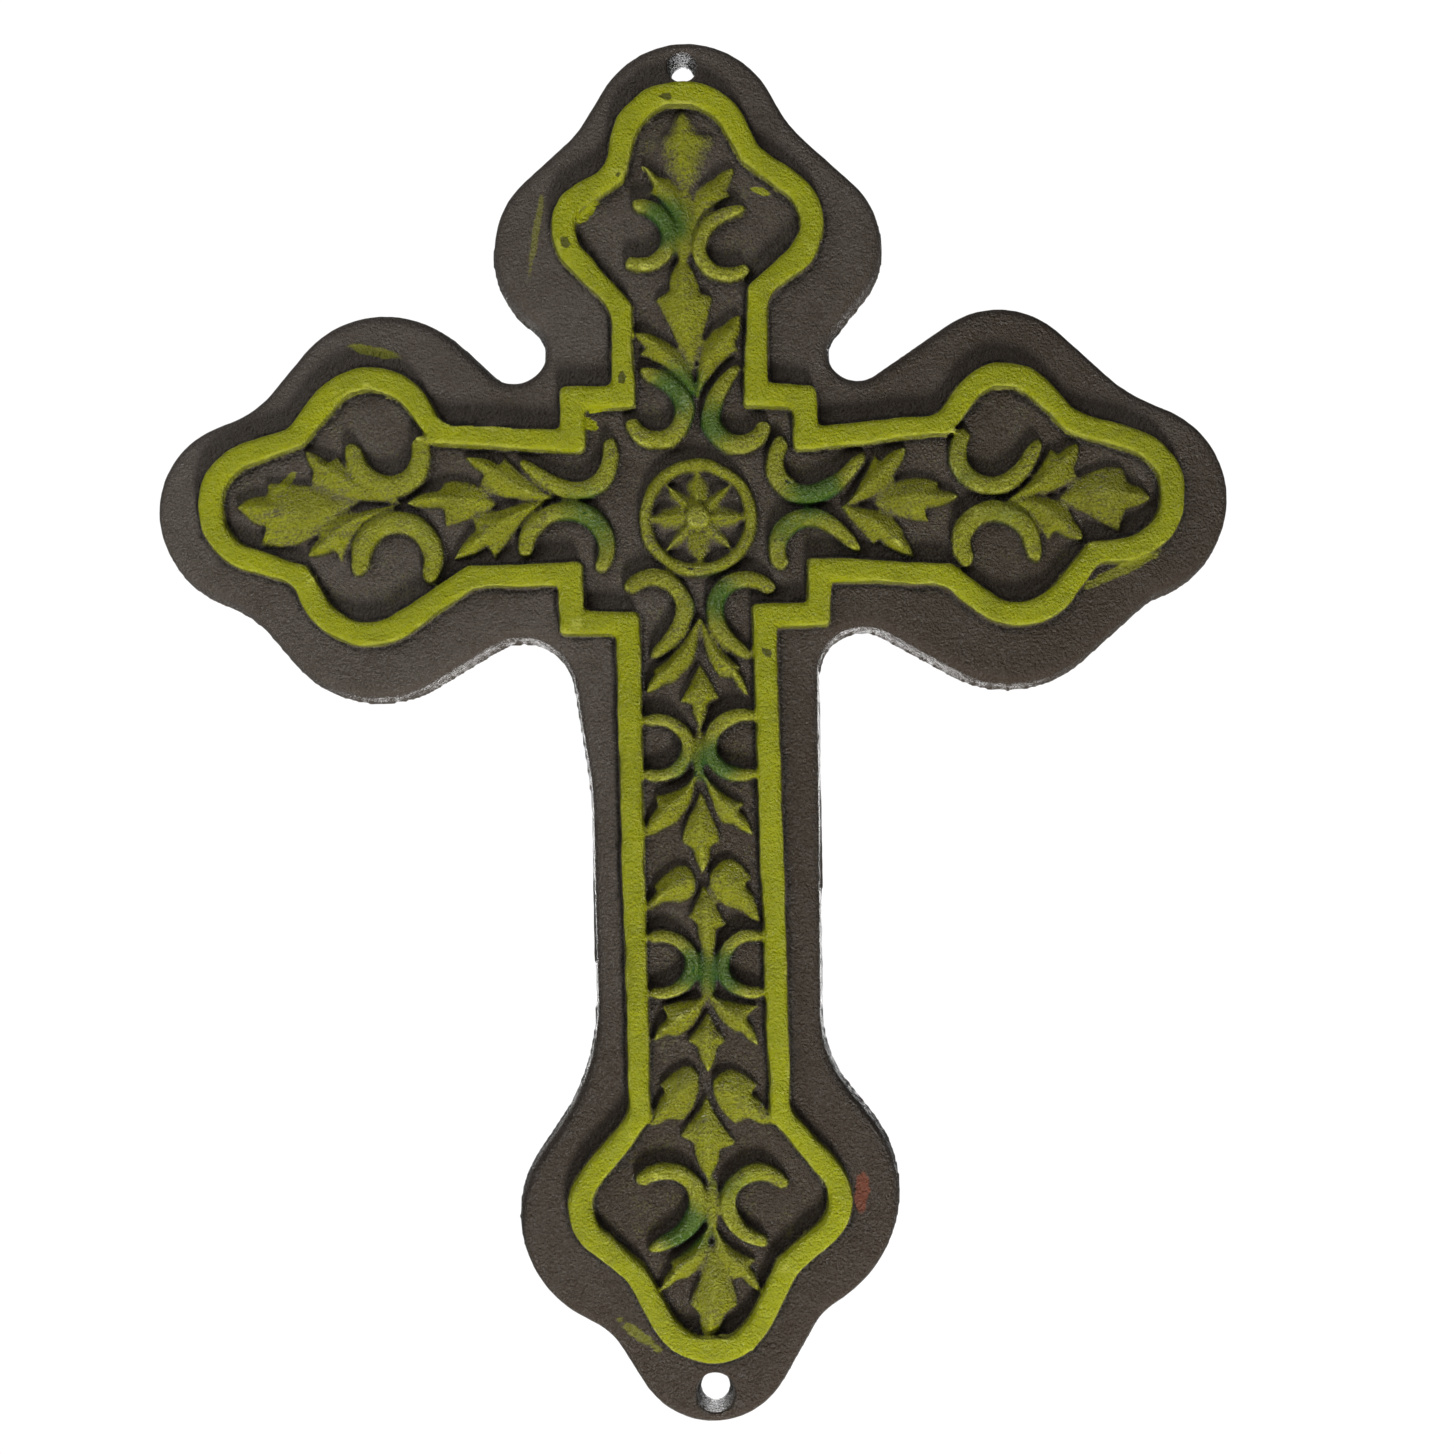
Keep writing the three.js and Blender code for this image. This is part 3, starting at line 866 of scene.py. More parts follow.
@dataclass(frozen=True)
class Paint:
    """The hand-painted finish: a dark coat, a lime band, dry-brushed relief and its marks of wear, with painted
    shade in crevices and on steep walls, painted highlights and glints on crests, rims and tops, and a painted
    sheen towards the left and the top.
    """

    coat: Colour = srgb(53, 44, 35)
    # the coat's lighter, greyer tone: partly random, partly a painted sheen towards the left and the top
    coat_grey_and_sheen: Colour = srgb(73, 66, 60)
    # near-black: a real wash in pits and patches, and painted shade in crevices and on steep walls
    wash_and_shade: Colour = srgb(20, 16, 10)
    # pale flecks: partly dust, partly painted glints of the sandy skin
    dust_and_glint: Colour = srgb(128, 124, 118)
    lime: Colour = srgb(134, 138, 0)
    lime_thin: Colour = srgb(108, 111, 0)
    # pale lime: dry-brushed paint on the high spots, and painted highlights and glints on crests, rims and tops
    lime_dry_brush_and_highlight: Colour = srgb(186, 188, 84)
    olive: Colour = srgb(128, 131, 0)
    olive_deep: Colour = srgb(96, 96, 4)
    emerald: Colour = srgb(24, 68, 8)
    # bluish white on glazed crests: partly chalky dust, partly painted highlight
    chalk_and_glint: Colour = srgb(150, 178, 160)
    rust: Colour = srgb(98, 50, 30)
    smears: tuple[Smear, ...] = (
        Smear(-21.0, 24.4, 4.2, 1.3, 4),
        Smear(-23.2, 20.6, 2.2, 1.4, -30),
        Smear(-16.0, -174.0, 6.0, 1.2, -38, 0.4),
        Smear(-68.8, 37.0, 6.0, 1.1, -14, 0.55),
        Smear(90.5, -12.4, 8.5, 1.3, 24, 0.5),
        Smear(-22.6, 65.6, 3.6, 0.9, 40, 0.9),
        Smear(14.6, 69.8, 2.4, 0.8, -18, 0.8),
        Smear(-33.6, 62.0, 9.0, 0.8, 80, 0.3),
        Smear(-88.0, 9.0, 3.2, 1.0, 48, 0.6),
    )
    rust_spot: Smear = Smear(32.4, -144.4, 4.6, 1.6, 87)

    def touch(self, shader: Shader, smear: Smear, ragged: Wire) -> Wire:
        """The share of the surface that a smear covers.

        Args:
            shader: The material in the making.
            smear: The smear.
            ragged: Noise that breaks its edge.

        Returns:
            Its share, from 0 to its amount.
        """
        from_middle = shader.node(
            "ShaderNodeMapping", 0, {"vector_type": "TEXTURE"},
            {
                "Vector": shader.place,
                "Location": (smear.x * MM, -PLATE_THICKNESS * MM, smear.z * MM),
                "Rotation": (0, -math.radians(smear.turn), 0),
                "Scale": (smear.length * MM, 8 * MM, smear.width * MM),
            },
        )
        away = shader.node("ShaderNodeVectorMath", "Value", {"operation": "LENGTH"}, {0: from_middle})
        return (away + ragged * 0.42).step(1.05, 0.8) * smear.amount

    def make(self) -> bpy.types.Material:
        """Builds the material.

        Returns:
            The painted finish, driven by the mesh's own marks.
        """
        shader = Shader("painted_iron")
        split = [shader.node("ShaderNodeSeparateXYZ", axis, {}, {0: shader.place}) for axis in "XYZ"]
        height = split[1] / -MM - PLATE_THICKNESS
        outer = shader.attribute(Mark.OUTER.value)
        inner = shader.attribute(Mark.INNER.value)
        crevice = shader.attribute(Mark.CREVICE.value)
        slope = shader.attribute(Mark.SLOPE.value)
        front = shader.attribute(Mark.FRONT.value)
        glaze = shader.attribute(Mark.GLAZE.value)

        sand = shader.noise(0.6, 2.0)
        speckle = shader.noise(0.55, 3.0, 0.65)
        blotch = shader.noise(6.0, 4.0)
        drift = shader.noise(60.0, 2.0)
        ragged = shader.noise(2.2, 5.0, 0.65)
        streak = shader.noise(0.9, 3.0, 0.6, shader.stretched(12, 0.8, 8))

        # dark coat, lighter and greyer towards the left and the top as a painted sheen, with pale flecks that
        # are partly painted glints, and painted shade in its crevices
        # lighter and greyer towards the left and the top: random tone mixed with a painted sheen
        grey_and_sheen = (drift * 0.45 + blotch * 0.2 - split[0] * 4.0 + split[2] * 2.2 + 0.4).step(0, 1)
        coat = shader.mix(grey_and_sheen, self.coat, self.coat_grey_and_sheen)
        # pale flecks: dust mixed with painted glints
        coat = shader.mix((speckle - 0.75).step(0, 0.9) * 0.3, coat, self.dust_and_glint)
        coat = shader.mix((speckle * -1 - 0.5).step(0, 0.9) * 0.45, coat, self.wash_and_shade)
        # darker in crevices: a wash mixed with painted shade
        coat = shader.mix((crevice + speckle * 0.08).step(0.06, 0.5) * 0.85, coat, self.wash_and_shade)

        # dry-brushed relief inside the band, with painted highlights and glints on its crests, rims and tops
        # and painted shade on its steep walls
        inside = (inner + ragged * 0.2).step(0.3, -0.1) * front
        raised = (height + speckle * 0.3 + ragged * 0.4 - crevice * 1.2).step(0.35, 1.5)
        patchy = (blotch * 0.5 + speckle * 0.45 + streak * 0.4 + 0.85).step(0, 1)
        field = (speckle * 0.8 + blotch * 0.5 - 0.1 - crevice * 0.8).step(0, 1) * 0.5
        brushed = inside * (raised * patchy).most(field)
        olive = shader.mix((blotch * 0.5 + drift * 0.3 + 0.5).step(0, 1), self.olive, self.olive_deep)
        paint = shader.mix(brushed, coat, olive)
        # paler on crests: dry-brush mixed with painted highlights
        crest = (height * 0.35 - crevice * 1.6 + speckle * 0.4 - 0.75).step(0, 1)
        paint = shader.mix(crest * inside * raised * 0.3, paint, self.lime_dry_brush_and_highlight)
        # paler on convex rims: dry-brush mixed with painted highlights
        rim = (speckle * 0.16 + ragged * 0.08 - crevice).step(0.16, 0.5)
        paint = shader.mix(rim * inside * raised * 0.5, paint, self.lime_dry_brush_and_highlight)
        paint = shader.mix((blotch * 0.3 - speckle - 0.15).step(0, 0.8) * inside * 0.6, paint, self.wash_and_shade)
        # darker on steep walls, most at their foot: painted shade
        steep_wall_shade = (slope + speckle * 0.14 + ragged * 0.1).step(0.12, 0.5) * height.step(2.4, 0.9)
        paint = shader.mix(steep_wall_shade * inside * 0.75, paint, self.wash_and_shade)
        # pale grains on forward-facing tops: dry-brush mixed with painted glints
        grains_and_glints = (speckle + blotch * 0.25 - slope * 0.8 - 0.45).step(0, 0.6) * height.step(0.6, 1.6)
        paint = shader.mix(grains_and_glints * inside * 0.5, paint, self.lime_dry_brush_and_highlight)
        glazed = (glaze + blotch * 0.14 + speckle * 0.16).step(0.3, 0.85) * inside * height.step(0.3, 0.9)
        paint = shader.mix(glazed * 0.8, paint, self.emerald)
        # bluish white on glazed crests: chalky dust mixed with painted highlights
        paint = shader.mix(glaze * crest * (speckle + 0.2).step(0.2, 0.9) * inside * 0.5, paint, self.chalk_and_glint)

        # lime band, with painted highlights on its rims, and painted shade on its walls and in its crevices
        band = outer.most(-inner)
        covered = (band + ragged * 0.22).step(0.35, -0.1) * (height + ragged * 0.5).step(0.2, 1.0)
        worn = (speckle * 0.7 + ragged * 0.5 - 1.95).step(0, 0.5) * 0.7
        thin = (streak * 0.25 + blotch * 0.35 + drift * 0.3 + 0.35).step(0, 1)
        lime = shader.mix(thin, self.lime, self.lime_thin)
        lime = shader.mix((speckle - 0.8).step(0, 0.8) * 0.3, lime, self.lime_dry_brush_and_highlight)
        # paler on convex rims: painted highlight
        lime = shader.mix(rim * 0.3, lime, self.lime_dry_brush_and_highlight)
        # darker on steep walls: painted shade
        lime = shader.mix((slope + speckle * 0.12 + ragged * 0.1).step(0.35, 0.8) * 0.6, lime, self.wash_and_shade)
        # darker in crevices: a wash mixed with painted shade
        lime = shader.mix((crevice + speckle * 0.16 + ragged * 0.1).step(0.2, 0.8) * 0.75, lime, self.wash_and_shade)
        paint = shader.mix(covered * (1 - worn), paint, lime)

        # astray paint and rust
        for smear in self.smears:
            broken = ragged + streak * 0.7
            paint = shader.mix(self.touch(shader, smear, broken) * front, paint, self.lime)
        rusted = self.touch(shader, self.rust_spot, ragged) * (speckle + 1.1).step(0, 0.9)
        paint = shader.mix(rusted, paint, self.rust)

        bumps = sand * 0.8 + speckle * 0.8 + ragged * 0.5
        relief = shader.node(
            "ShaderNodeBump", "Normal", {}, {"Strength": 1.0, "Distance": 0.26 * MM, "Height": bumps}
        )
        gloss = 0.27 + speckle * 0.06 + blotch * 0.03 - covered * 0.03 + rusted * 0.3
        surface = shader.node(
            "ShaderNodeBsdfPrincipled", 0, {},
            {"Base Color": paint, "Roughness": gloss, "Specular IOR Level": 0.28, "Normal": relief},
        )
        return shader.surfaced(surface)


@dataclass(frozen=True)
class Casting:
    """The whole cross, cast in one piece."""

    plate: Plate
    band: Band
    arms: tuple[Arm, ...]
    medallion: Medallion
    paint: Paint
    voxel: float = 0.42
    softening: int = 4
    # unevenness of the cast skin, and wander of the relief's edges: depth and size, in millimetres
    skin: Point = (0.14, 2.2)
    wander: Point = (0.9, 7.0)
    triangles: int = 190_000
    # the height map that crevices are read from: its cell and the reach of its blur, in millimetres
    map_margin: float = 5.0
    map_cell: float = 0.45
    map_reach: int = 1

    def build(self) -> bpy.types.Object:
        """Models the parts of the pattern, casts them as one skin, and paints it."""
        pattern = [self.plate.build(), self.band.build()]
        LOG.info("plate and band modelled")
        for arm in self.arms:
            pattern += arm.build()
        pattern += self.medallion.build()
        LOG.info("relief modelled: %d forms", len(pattern) - 2)
        cross = Bench.join("cross_finish", pattern)
        Bench.turn_faces_out(cross)
        self.cast(cross)
        LOG.info("cast: %d triangles", len(cross.data.polygons))
        self.stand_up(cross)
        cross.data.materials.clear()
        cross.data.materials.append(self.paint.make())
        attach(cross, "root")
        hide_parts(NODE)
        return cross

    def cast(self, cross: bpy.types.Object) -> None:
        """Turns the joined forms into one skin with soft edges and an uneven surface, marked for paint."""
        Bench.finish(cross, "REMESH", mode="VOXEL", voxel_size=self.voxel)
        Bench.finish(cross, "SMOOTH", factor=0.5, iterations=self.softening)
        relief = cross.vertex_groups.new(name=RELIEF_GROUP)
        raised = smooth(PLATE_THICKNESS - 0.4, PLATE_THICKNESS + 0.6, Bench.places(cross)[:, 2])
        for vertex in np.flatnonzero(raised > 0.02):
            relief.add([int(vertex)], float(raised[vertex]), "REPLACE")
        self.roughen(cross, self.skin, "NORMAL", "")
        for way in "XY":
            self.roughen(cross, self.wander, way, RELIEF_GROUP)
        cross.vertex_groups.clear()
        heights = self.height_map(cross)
        Bench.finish(cross, "TRIANGULATE")
        ratio = min(1.0, self.triangles / len(cross.data.polygons))
        Bench.finish(cross, "DECIMATE", decimate_type="COLLAPSE", ratio=ratio)
        Bench.take(cross)
        bpy.ops.object.shade_smooth()
        self.mark(cross, heights)

    @staticmethod
    def roughen(cross: bpy.types.Object, amount: Point, way: str, group: str) -> None:
        """Displaces the skin by cloudy noise.

        Args:
            cross: The cast skin.
            amount: Depth and size of the noise, in millimetres.
            way: The direction that vertices move in.
            group: The vertex group that moves, or none for all.
        """
        depth, size = amount
        clouds = bpy.data.textures.new("clouds", "CLOUDS")
        clouds.noise_scale = size if way != "Y" else size * 1.13
        clouds.noise_depth = 1
        Bench.finish(
            cross, "DISPLACE", texture=clouds, texture_coords="LOCAL", direction=way, strength=depth,
            mid_level=0.5, vertex_group=group,
        )
        bpy.data.textures.remove(clouds)

    def map_cells(self, points: np.ndarray) -> tuple[np.ndarray, np.ndarray]:
        """The cells of the height map that points lie in."""
        low = self.plate.outline.trace().min(0) - self.map_margin
        column, row = ((points[:, :2] - low) / self.map_cell).astype(int).T
        return row, column

    def height_map(self, cross: bpy.types.Object) -> np.ndarray:
        """The blurred height of the front, less the height itself: positive in crevices.

        Args:
            cross: The cast skin.

        Returns:
            The map, one row of cells above the other.
        """
        points = Bench.places(cross)
        span = np.ptp(self.plate.outline.trace(), axis=0) + 2 * self.map_margin
        shape = (span / self.map_cell).astype(int)[::-1] + 1
        heights = np.zeros(shape)
        np.maximum.at(heights, self.map_cells(points), points[:, 2])
        around = [np.roll(heights, shift, axis) for shift in (-1, 1) for axis in (0, 1)]
        heights = np.where(heights == 0, np.max(around, axis=0), heights)
        heights[heights < PLATE_THICKNESS / 2] = PLATE_THICKNESS - 1
        blurred = heights
        window = np.ones(2 * self.map_reach + 1) / (2 * self.map_reach + 1)
        for axis in (0, 1, 0, 1):
            blurred = np.apply_along_axis(np.convolve, axis, blurred, window, mode="same")
        return blurred - heights

    def mark(self, cross: bpy.types.Object, crevices: np.ndarray) -> None:
        """Stores at each vertex what the paint needs to know.

        Args:
            cross: The cast skin.
            crevices: The map of crevices.
        """
        points = Bench.places(cross)
        flat = points[:, :2]
        normals = np.empty(points.size)
        cross.data.vertices.foreach_get("normal", normals)
        glaze = np.zeros(len(points))
        for arm in self.arms:
            for middle, radius, amount in arm.glazes():
                near = np.linalg.norm(flat - middle, axis=1) / (1.15 * radius)
                glaze = np.maximum(glaze, amount * np.exp(-near ** 2))
        front = smooth(PLATE_THICKNESS - 3, PLATE_THICKNESS - 0.5, points[:, 2])
        marks = {
            Mark.OUTER: self.band.outline.distance(flat),
            Mark.INNER: self.band.inner.distance(flat),
            Mark.CREVICE: crevices[self.map_cells(points)] * front,
            Mark.SLOPE: (1 - normals.reshape(-1, 3)[:, 2]) * front,
            Mark.FRONT: front,
            Mark.GLAZE: glaze,
        }
        for mark, values in marks.items():
            stored = cross.data.attributes.new(mark.value, "FLOAT", "POINT")
            stored.data.foreach_set("value", values.astype(np.float32))

    @staticmethod
    def stand_up(cross: bpy.types.Object) -> None:
        """Stands the casting upright in the frame, in metres."""
        Bench.take(cross)
        cross.scale = (MM, MM, MM)
        cross.rotation_euler = Euler((math.pi / 2, 0, 0))
        bpy.ops.object.transform_apply(location=True, rotation=True, scale=True)


@dataclass(frozen=True)
class Lamp:
    """A soft light, aimed at the cross."""

    name: str
    place: tuple[float, float, float]
    size: float
    power: float
    colour: tuple[float, float, float] = (1.0, 1.0, 1.0)
    aim: tuple[float, float, float] = (0.0, 0.0, -0.045)

    def build(self) -> None:
        """Adds the light."""
        Bench.clear()
        bpy.ops.object.light_add(type="AREA", location=self.place)
        lamp = bpy.context.active_object
        lamp.name = self.name
        lamp.data.size = self.size
        lamp.data.energy = self.power
        lamp.data.color = self.colour
        lamp.rotation_euler = (Vector(self.aim) - Vector(self.place)).to_track_quat("-Z", "Y").to_euler()


@dataclass(frozen=True)
class Studio:
    """The pale floor, the soft light and the camera."""

    floor_height: float = -1.3
    floor_radius: float = 2.0
    floor_colour: Colour = (0.82, 0.82, 0.81, 1.0)
    tent_light: float = 0.13
    backdrop: float = 1.02
    camera_place: tuple[float, float, float] = (0.0056, -0.393, -0.0753)
    camera_roll: float = math.radians(-1.0)
    lens: float = 44.7
    shift: Point = (-0.0025, 0.0986)
    lamps: tuple[Lamp, ...] = (
        Lamp("key_light", (0.25, -0.5, -1.05), 0.2, 24.0, (1.0, 0.99, 0.96)),
        Lamp("left_fill", (-0.7, -0.5, 0.3), 0.5, 5.0, (0.98, 0.99, 1.0)),
        Lamp("top_fill", (0.1, -0.8, 0.8), 0.7, 3.0),
        Lamp("back_fill", (0.0, 1.1, 0.0), 0.6, 12.0),
    )

    def build(self) -> None:
        """Sets up the floor, the world, the lamps and the camera."""
        self.floor()
        self.world()
        for lamp in self.lamps:
            lamp.build()
        self.camera()
        bpy.context.scene.view_settings.view_transform = "Standard"

    def floor(self) -> None:
        """A pale round floor, far enough below to stay out of the picture."""
        Bench.clear()
        bpy.ops.mesh.primitive_circle_add(
            vertices=96, radius=self.floor_radius, fill_type="NGON", location=(0, 0, self.floor_height)
        )
        floor = Bench.named("floor")
        bpy.ops.object.transform_apply(location=True, rotation=False, scale=False)
        shader = Shader("pale_floor")
        surface = shader.node(
            "ShaderNodeBsdfPrincipled", 0, {}, {"Base Color": self.floor_colour, "Roughness": 0.8}
        )
        floor.data.materials.append(shader.surfaced(surface))

    def world(self) -> None:
        """A white backdrop, and an even light from all round that is dimmer than it."""
        world = bpy.data.worlds.new("tent")
        bpy.context.scene.world = world
        world.use_nodes = True
        nodes, links = world.node_tree.nodes, world.node_tree.links
        seen = nodes.new("ShaderNodeLightPath")
        strength = nodes.new("ShaderNodeMapRange")
        strength.inputs["To Min"].default_value = self.tent_light
        strength.inputs["To Max"].default_value = self.backdrop
        links.new(seen.outputs["Is Camera Ray"], strength.inputs["Value"])
        links.new(strength.outputs[0], nodes["Background"].inputs["Strength"])
        nodes["Background"].inputs["Color"].default_value = (1, 1, 1, 1)

    def camera(self) -> None:
        """The photograph's camera, level and square to the cross, with a slight roll."""
        Bench.clear()
        bpy.ops.object.camera_add(location=self.camera_place)
        camera = bpy.context.active_object
        camera.name = "camera"
        level = Euler((math.pi / 2, 0, 0)).to_matrix()
        roll = Matrix.Rotation(self.camera_roll, 3, "Z")
        camera.rotation_euler = (level @ roll).to_euler()
        camera.data.lens = self.lens
        camera.data.shift_x, camera.data.shift_y = self.shift
        camera.data.clip_start = 0.01
        bpy.context.scene.camera = camera


PLATE = Plate(
    outline=Outline((
        # right arm, upper side, and the top arm
        lobe(92.9, 2.9, 21.8),
        hollow(109.3, 51.6, 29.4),
        lobe(64.9, 25, 20.3),
        hollow(34.8, 36.2, 5.7),
        lobe(23.2, 59.2, 17.9),
        hollow(42.9, 101.6, 26.6),
        lobe(-1.3, 81.7, 21.8),
        hollow(-41.6, 97.8, 20.9),
        lobe(-23.5, 58.8, 20.3),
        hollow(-39.1, 37.3, 6.2),
        # left arm
        lobe(-66.9, 22.3, 23.8),
        hollow(-107, 42.6, 19.9),
        lobe(-96.4, 3.4, 20.5),
        hollow(-111.4, -38.2, 23.6),
        lobe(-69.4, -13.3, 24.7),
        hollow(-38.6, -36.4, 10.8),
        # foot
        hollow(-84.6, -62, 60),
        hollow(-68.8, -103, 44.5),
        lobe(-16.8, -149.5, 24.8),
        hollow(-32.5, -185.5, 14.3),
        lobe(0.1, -176.3, 18.3),
        hollow(33, -179.9, 11.9),
        lobe(13.6, -145.1, 27.8),
        hollow(49.8, -106.6, 24.4),
        # right arm, lower side
        hollow(35, -33.5, 9),
        lobe(66.6, -12.2, 25.2),
        hollow(102.1, -26.4, 8.8),
    )),
    holes=(ScrewHole(-1.8, 96.8, 3.3, 2.4), ScrewHole(0.4, -187, 4.4, 3.0)),
)

BAND = Band(
    outline=Outline((
        # right arm, upper side
        lobe(89.2, 3.4, 14.7),
        hollow(87.2, 30.4, 10.8),
        lobe(65.7, 18.6, 13.2),
        hollow(48, 26.5, 5.9),
        corner(25.8, 19.2),
        corner(25.6, 27.6),
        corner(15.2, 28.2),
        # top arm
        hollow(20.6, 44.6, 4.9),
        lobe(14.7, 62.4, 13.2),
        hollow(18.2, 82.2, 5.2),
        lobe(-2.4, 77.7, 15.4),
        hollow(-23.8, 78.4, 5.9),
        lobe(-19.1, 61.7, 11.3),
        hollow(-25.5, 41.2, 7.8),
        corner(-18, 28.6),
        corner(-29, 28.4),
        corner(-29, 19.4),
        # left arm
        hollow(-50.5, 25.5, 5.4),
        lobe(-69.6, 18.6, 14.7),
        hollow(-89.7, 25.5, 5.4),
        lobe(-92.1, 3.9, 14.4),
        hollow(-89.7, -16.2, 4.2),
        lobe(-70.4, -10.6, 15.7),
        hollow(-45.4, -22.2, 8),
        corner(-30, -14.2),
        corner(-30, -24.7),
        corner(-18, -25),
        # foot
        hollow(-23.9, -124, 6.9),
        lobe(-18.1, -146.5, 12.2),
        hollow(-22.5, -166.3, 5.9),
        lobe(0, -165.6, 14.5),
        hollow(23, -165.1, 5.9),
        lobe(17.6, -145.5, 12.7),
        hollow(24.4, -124, 6.9),
        corner(16.3, -23.8),
        corner(27.8, -23.8),
        corner(28.1, -14.3),
        # right arm, lower side
        hollow(49.5, -21.6, 6.4),
        lobe(68.1, -9.6, 14.7),
        hollow(86.7, -14.2, 3),
    )),
)

# crest of a leaf that rises from between two others
RISING = ((0.0, 0.3), (0.15, 0.62), (0.4, 1.0), (0.7, 1.0), (1.0, 0.55))

LEFT_ARM = Arm(
    angle=math.pi,
    scrolls=(
        Scroll(Side.LEFT, (28, 7), 9, 2.1, 121, 96, curl_reach=0.86, glaze=0.75, glaze_at=-40),
        Scroll(Side.RIGHT, (25.3, -12.8), 6.6, 2.1, 126, 92, curl_reach=1.1, run_reach=1.85, glaze=0.3),
        Scroll(Side.LEFT, (64.2, 6.8), 7.1, 2.6, 135, 121, 1.2, 1.25, glaze=0.4, glaze_at=-45),
        Scroll(Side.RIGHT, (65.5, -14.4), 6.7, 2.5, 125, 110, run_reach=1.2, glaze=0.2, glaze_at=-50),
    ),
    leaves=(
        # first spray
        Leaf(
            (32.5, -4.2), Edge((38, 1.2), (43.7, 8.3), (45.2, 5.2)),
            (52.2, 8), Edge((41, -3), (48.2, -0.6), (47.6, 2)),
        ),
        Leaf(
            (30.5, -4.6), Edge((36, -8.8), (41.2, -13.6), (42.2, -12)),
            (49.7, -13.6), Edge((41, -5), (46.2, -8.4), (45.6, -10)),
        ),
        Leaf(
            (43, -3.8), Edge((48, -1), (54, 1), (54, -2.8)),
            (62, -4.2), Edge((47.5, -8), (54, -8.8), (55.5, -6.8)), crest=RISING,
        ),
        # end spray
        Leaf(
            (63, -4), Edge((71, 0), (76.2, 8.2), (77.3, 5.6)),
            (83.5, 7), Edge((74, -2.6), (81, 1), (80.8, 3)),
        ),
        Leaf(
            (63.5, -4.6), Edge((71.5, -9.2), (76.5, -14.5), (78.5, -13.2)),
            (83.5, -15.8), Edge((75, -5.6), (82.6, -8.9), (82, -11.5)),
        ),
        Leaf(
            (73, -4.6), Edge((83.5, 3.4), (93.8, 4.2), (91.8, 0.6)),
            (98.6, -3.9), Edge((82, -7.9), (91.6, -8.8), (92.2, -6.4)), crest=RISING,
        ),
    ),
)

RIGHT_ARM = Arm(
    angle=0.0,
    scrolls=(
        Scroll(Side.LEFT, (23.2, 11.2), 6.7, 2.15, 142, 101, run_reach=1.8, glaze=0.95, glaze_at=15),
        Scroll(Side.RIGHT, (23.2, -6.9), 6.5, 2.15, 131, 97, run_reach=1.67, glaze=0.7, glaze_at=-45),
        Scroll(Side.LEFT, (62.6, 12.6), 7, 2.2, 138, 106, run_reach=1.47, glaze=0.45, glaze_at=-65),
        Scroll(Side.RIGHT, (63, -6.5), 6.9, 2.3, 134, 116, run_reach=1.33, glaze=0.5, glaze_at=25),
    ),
    leaves=(
        # first spray
        Leaf(
            (31.5, 2.3), Edge((35, 7.5), (37.4, 13), (38.8, 11.4)),
            (44.4, 14.2), Edge((37.5, 3.8), (41.6, 6.8), (42.2, 9)),
        ),
        Leaf(
            (30.5, 1.9), Edge((33.8, -2.4), (37.3, -6.2), (38.6, -5.2)),
            (46, -9), Edge((38.8, 0.8), (43.8, -3.4), (44.2, -5)),
        ),
        Leaf(
            (37.5, 2.4), Edge((43, 7.4), (51.4, 6.9), (51, 5.6)),
            (55.4, 3.7), Edge((43, -0.6), (49.2, -1.6), (48, 1.2)), crest=RISING,
        ),
        # end spray
        Leaf(
            (66, 2.6), Edge((71.5, 7.2), (75.4, 13.4), (77, 12.4)),
            (81.3, 14.8), Edge((74.5, 4), (81, 7.6), (80.4, 9.6)),
        ),
        Leaf(
            (66, 2.8), Edge((70.4, -1.4), (74.4, -5.9), (76, -4.4)),
            (81.9, -6.4), Edge((75.2, 3), (79.8, -0.6), (80.6, -2.6)),
        ),
        Leaf(
            (77, 3.2), Edge((83.5, 8.4), (90.8, 9.4), (92, 6)),
            (96.8, 2.4), Edge((83.5, -1.2), (89.8, -4.6), (91, 0.4)), crest=RISING,
        ),
    ),
)

TOP_ARM = Arm(
    angle=math.pi / 2,
    scrolls=(
        Scroll(Side.LEFT, (22.7, 9), 6.4, 2.1, 165, 110, 0.8, 1.38, glaze=1.0, glaze_at=40),
        Scroll(Side.RIGHT, (21.3, -9.3), 6.2, 2.1, 168, 92, 0.82, 1.72, glaze=0.85, glaze_at=-15),
        Scroll(Side.LEFT, (60, 11.1), 6, 1.9, 124, 108, run_reach=1.14, glaze=1.0, glaze_at=30),
        Scroll(Side.RIGHT, (57.6, -7.2), 5.9, 1.7, 139, 118, run_reach=1.45, glaze=0.1),
    ),
    leaves=(
        # first spray
        Leaf(
            (25.5, 0), Edge((30.5, 4.6), (35.2, 11.6), (36.4, 10.2)),
            (40.2, 12.7), Edge((33, 1.6), (37.8, 6.2), (38.8, 8.2)),
        ),
        Leaf(
            (25.5, -0.3), Edge((31.5, -4.4), (36, -9.3), (37.4, -8.6)),
            (43.2, -9.8), Edge((35, -1.2), (40.2, -4), (41, -6.2)),
        ),
        Leaf(
            (31, 0.6), Edge((39.5, 5), (46.8, 8.4), (48.4, 5.2)),
            (55.8, 2.5), Edge((40, -2), (47, -4.1), (48, -1.2)), crest=RISING,
        ),
        # end spray
        Leaf(
            (56, 1.9), Edge((64.5, 4.4), (69.3, 9.6), (70.5, 8.6)),
            (75.4, 11.1), Edge((67, 2), (72.4, 5.2), (72.8, 7.4)),
        ),
        Leaf(
            (56.5, 1), Edge((63.5, -1.8), (68.4, -8.2), (69.8, -7.2)),
            (74.7, -8.7), Edge((67, 0.4), (71.6, -3.2), (72.4, -5)), height=1.9,
        ),
        Leaf(
            (66, 1.6), Edge((75.5, 6), (81.5, 6.4), (82, 4.6)),
            (87, 1.8), Edge((75.5, -3), (81.6, -4.8), (82, -1.6)), height=1.7, edge_height=0.5,
        ),
    ),
    stalks=(Stalk((52.5, 2.2), (72, 1.6), 1.9, 2.2),),
)

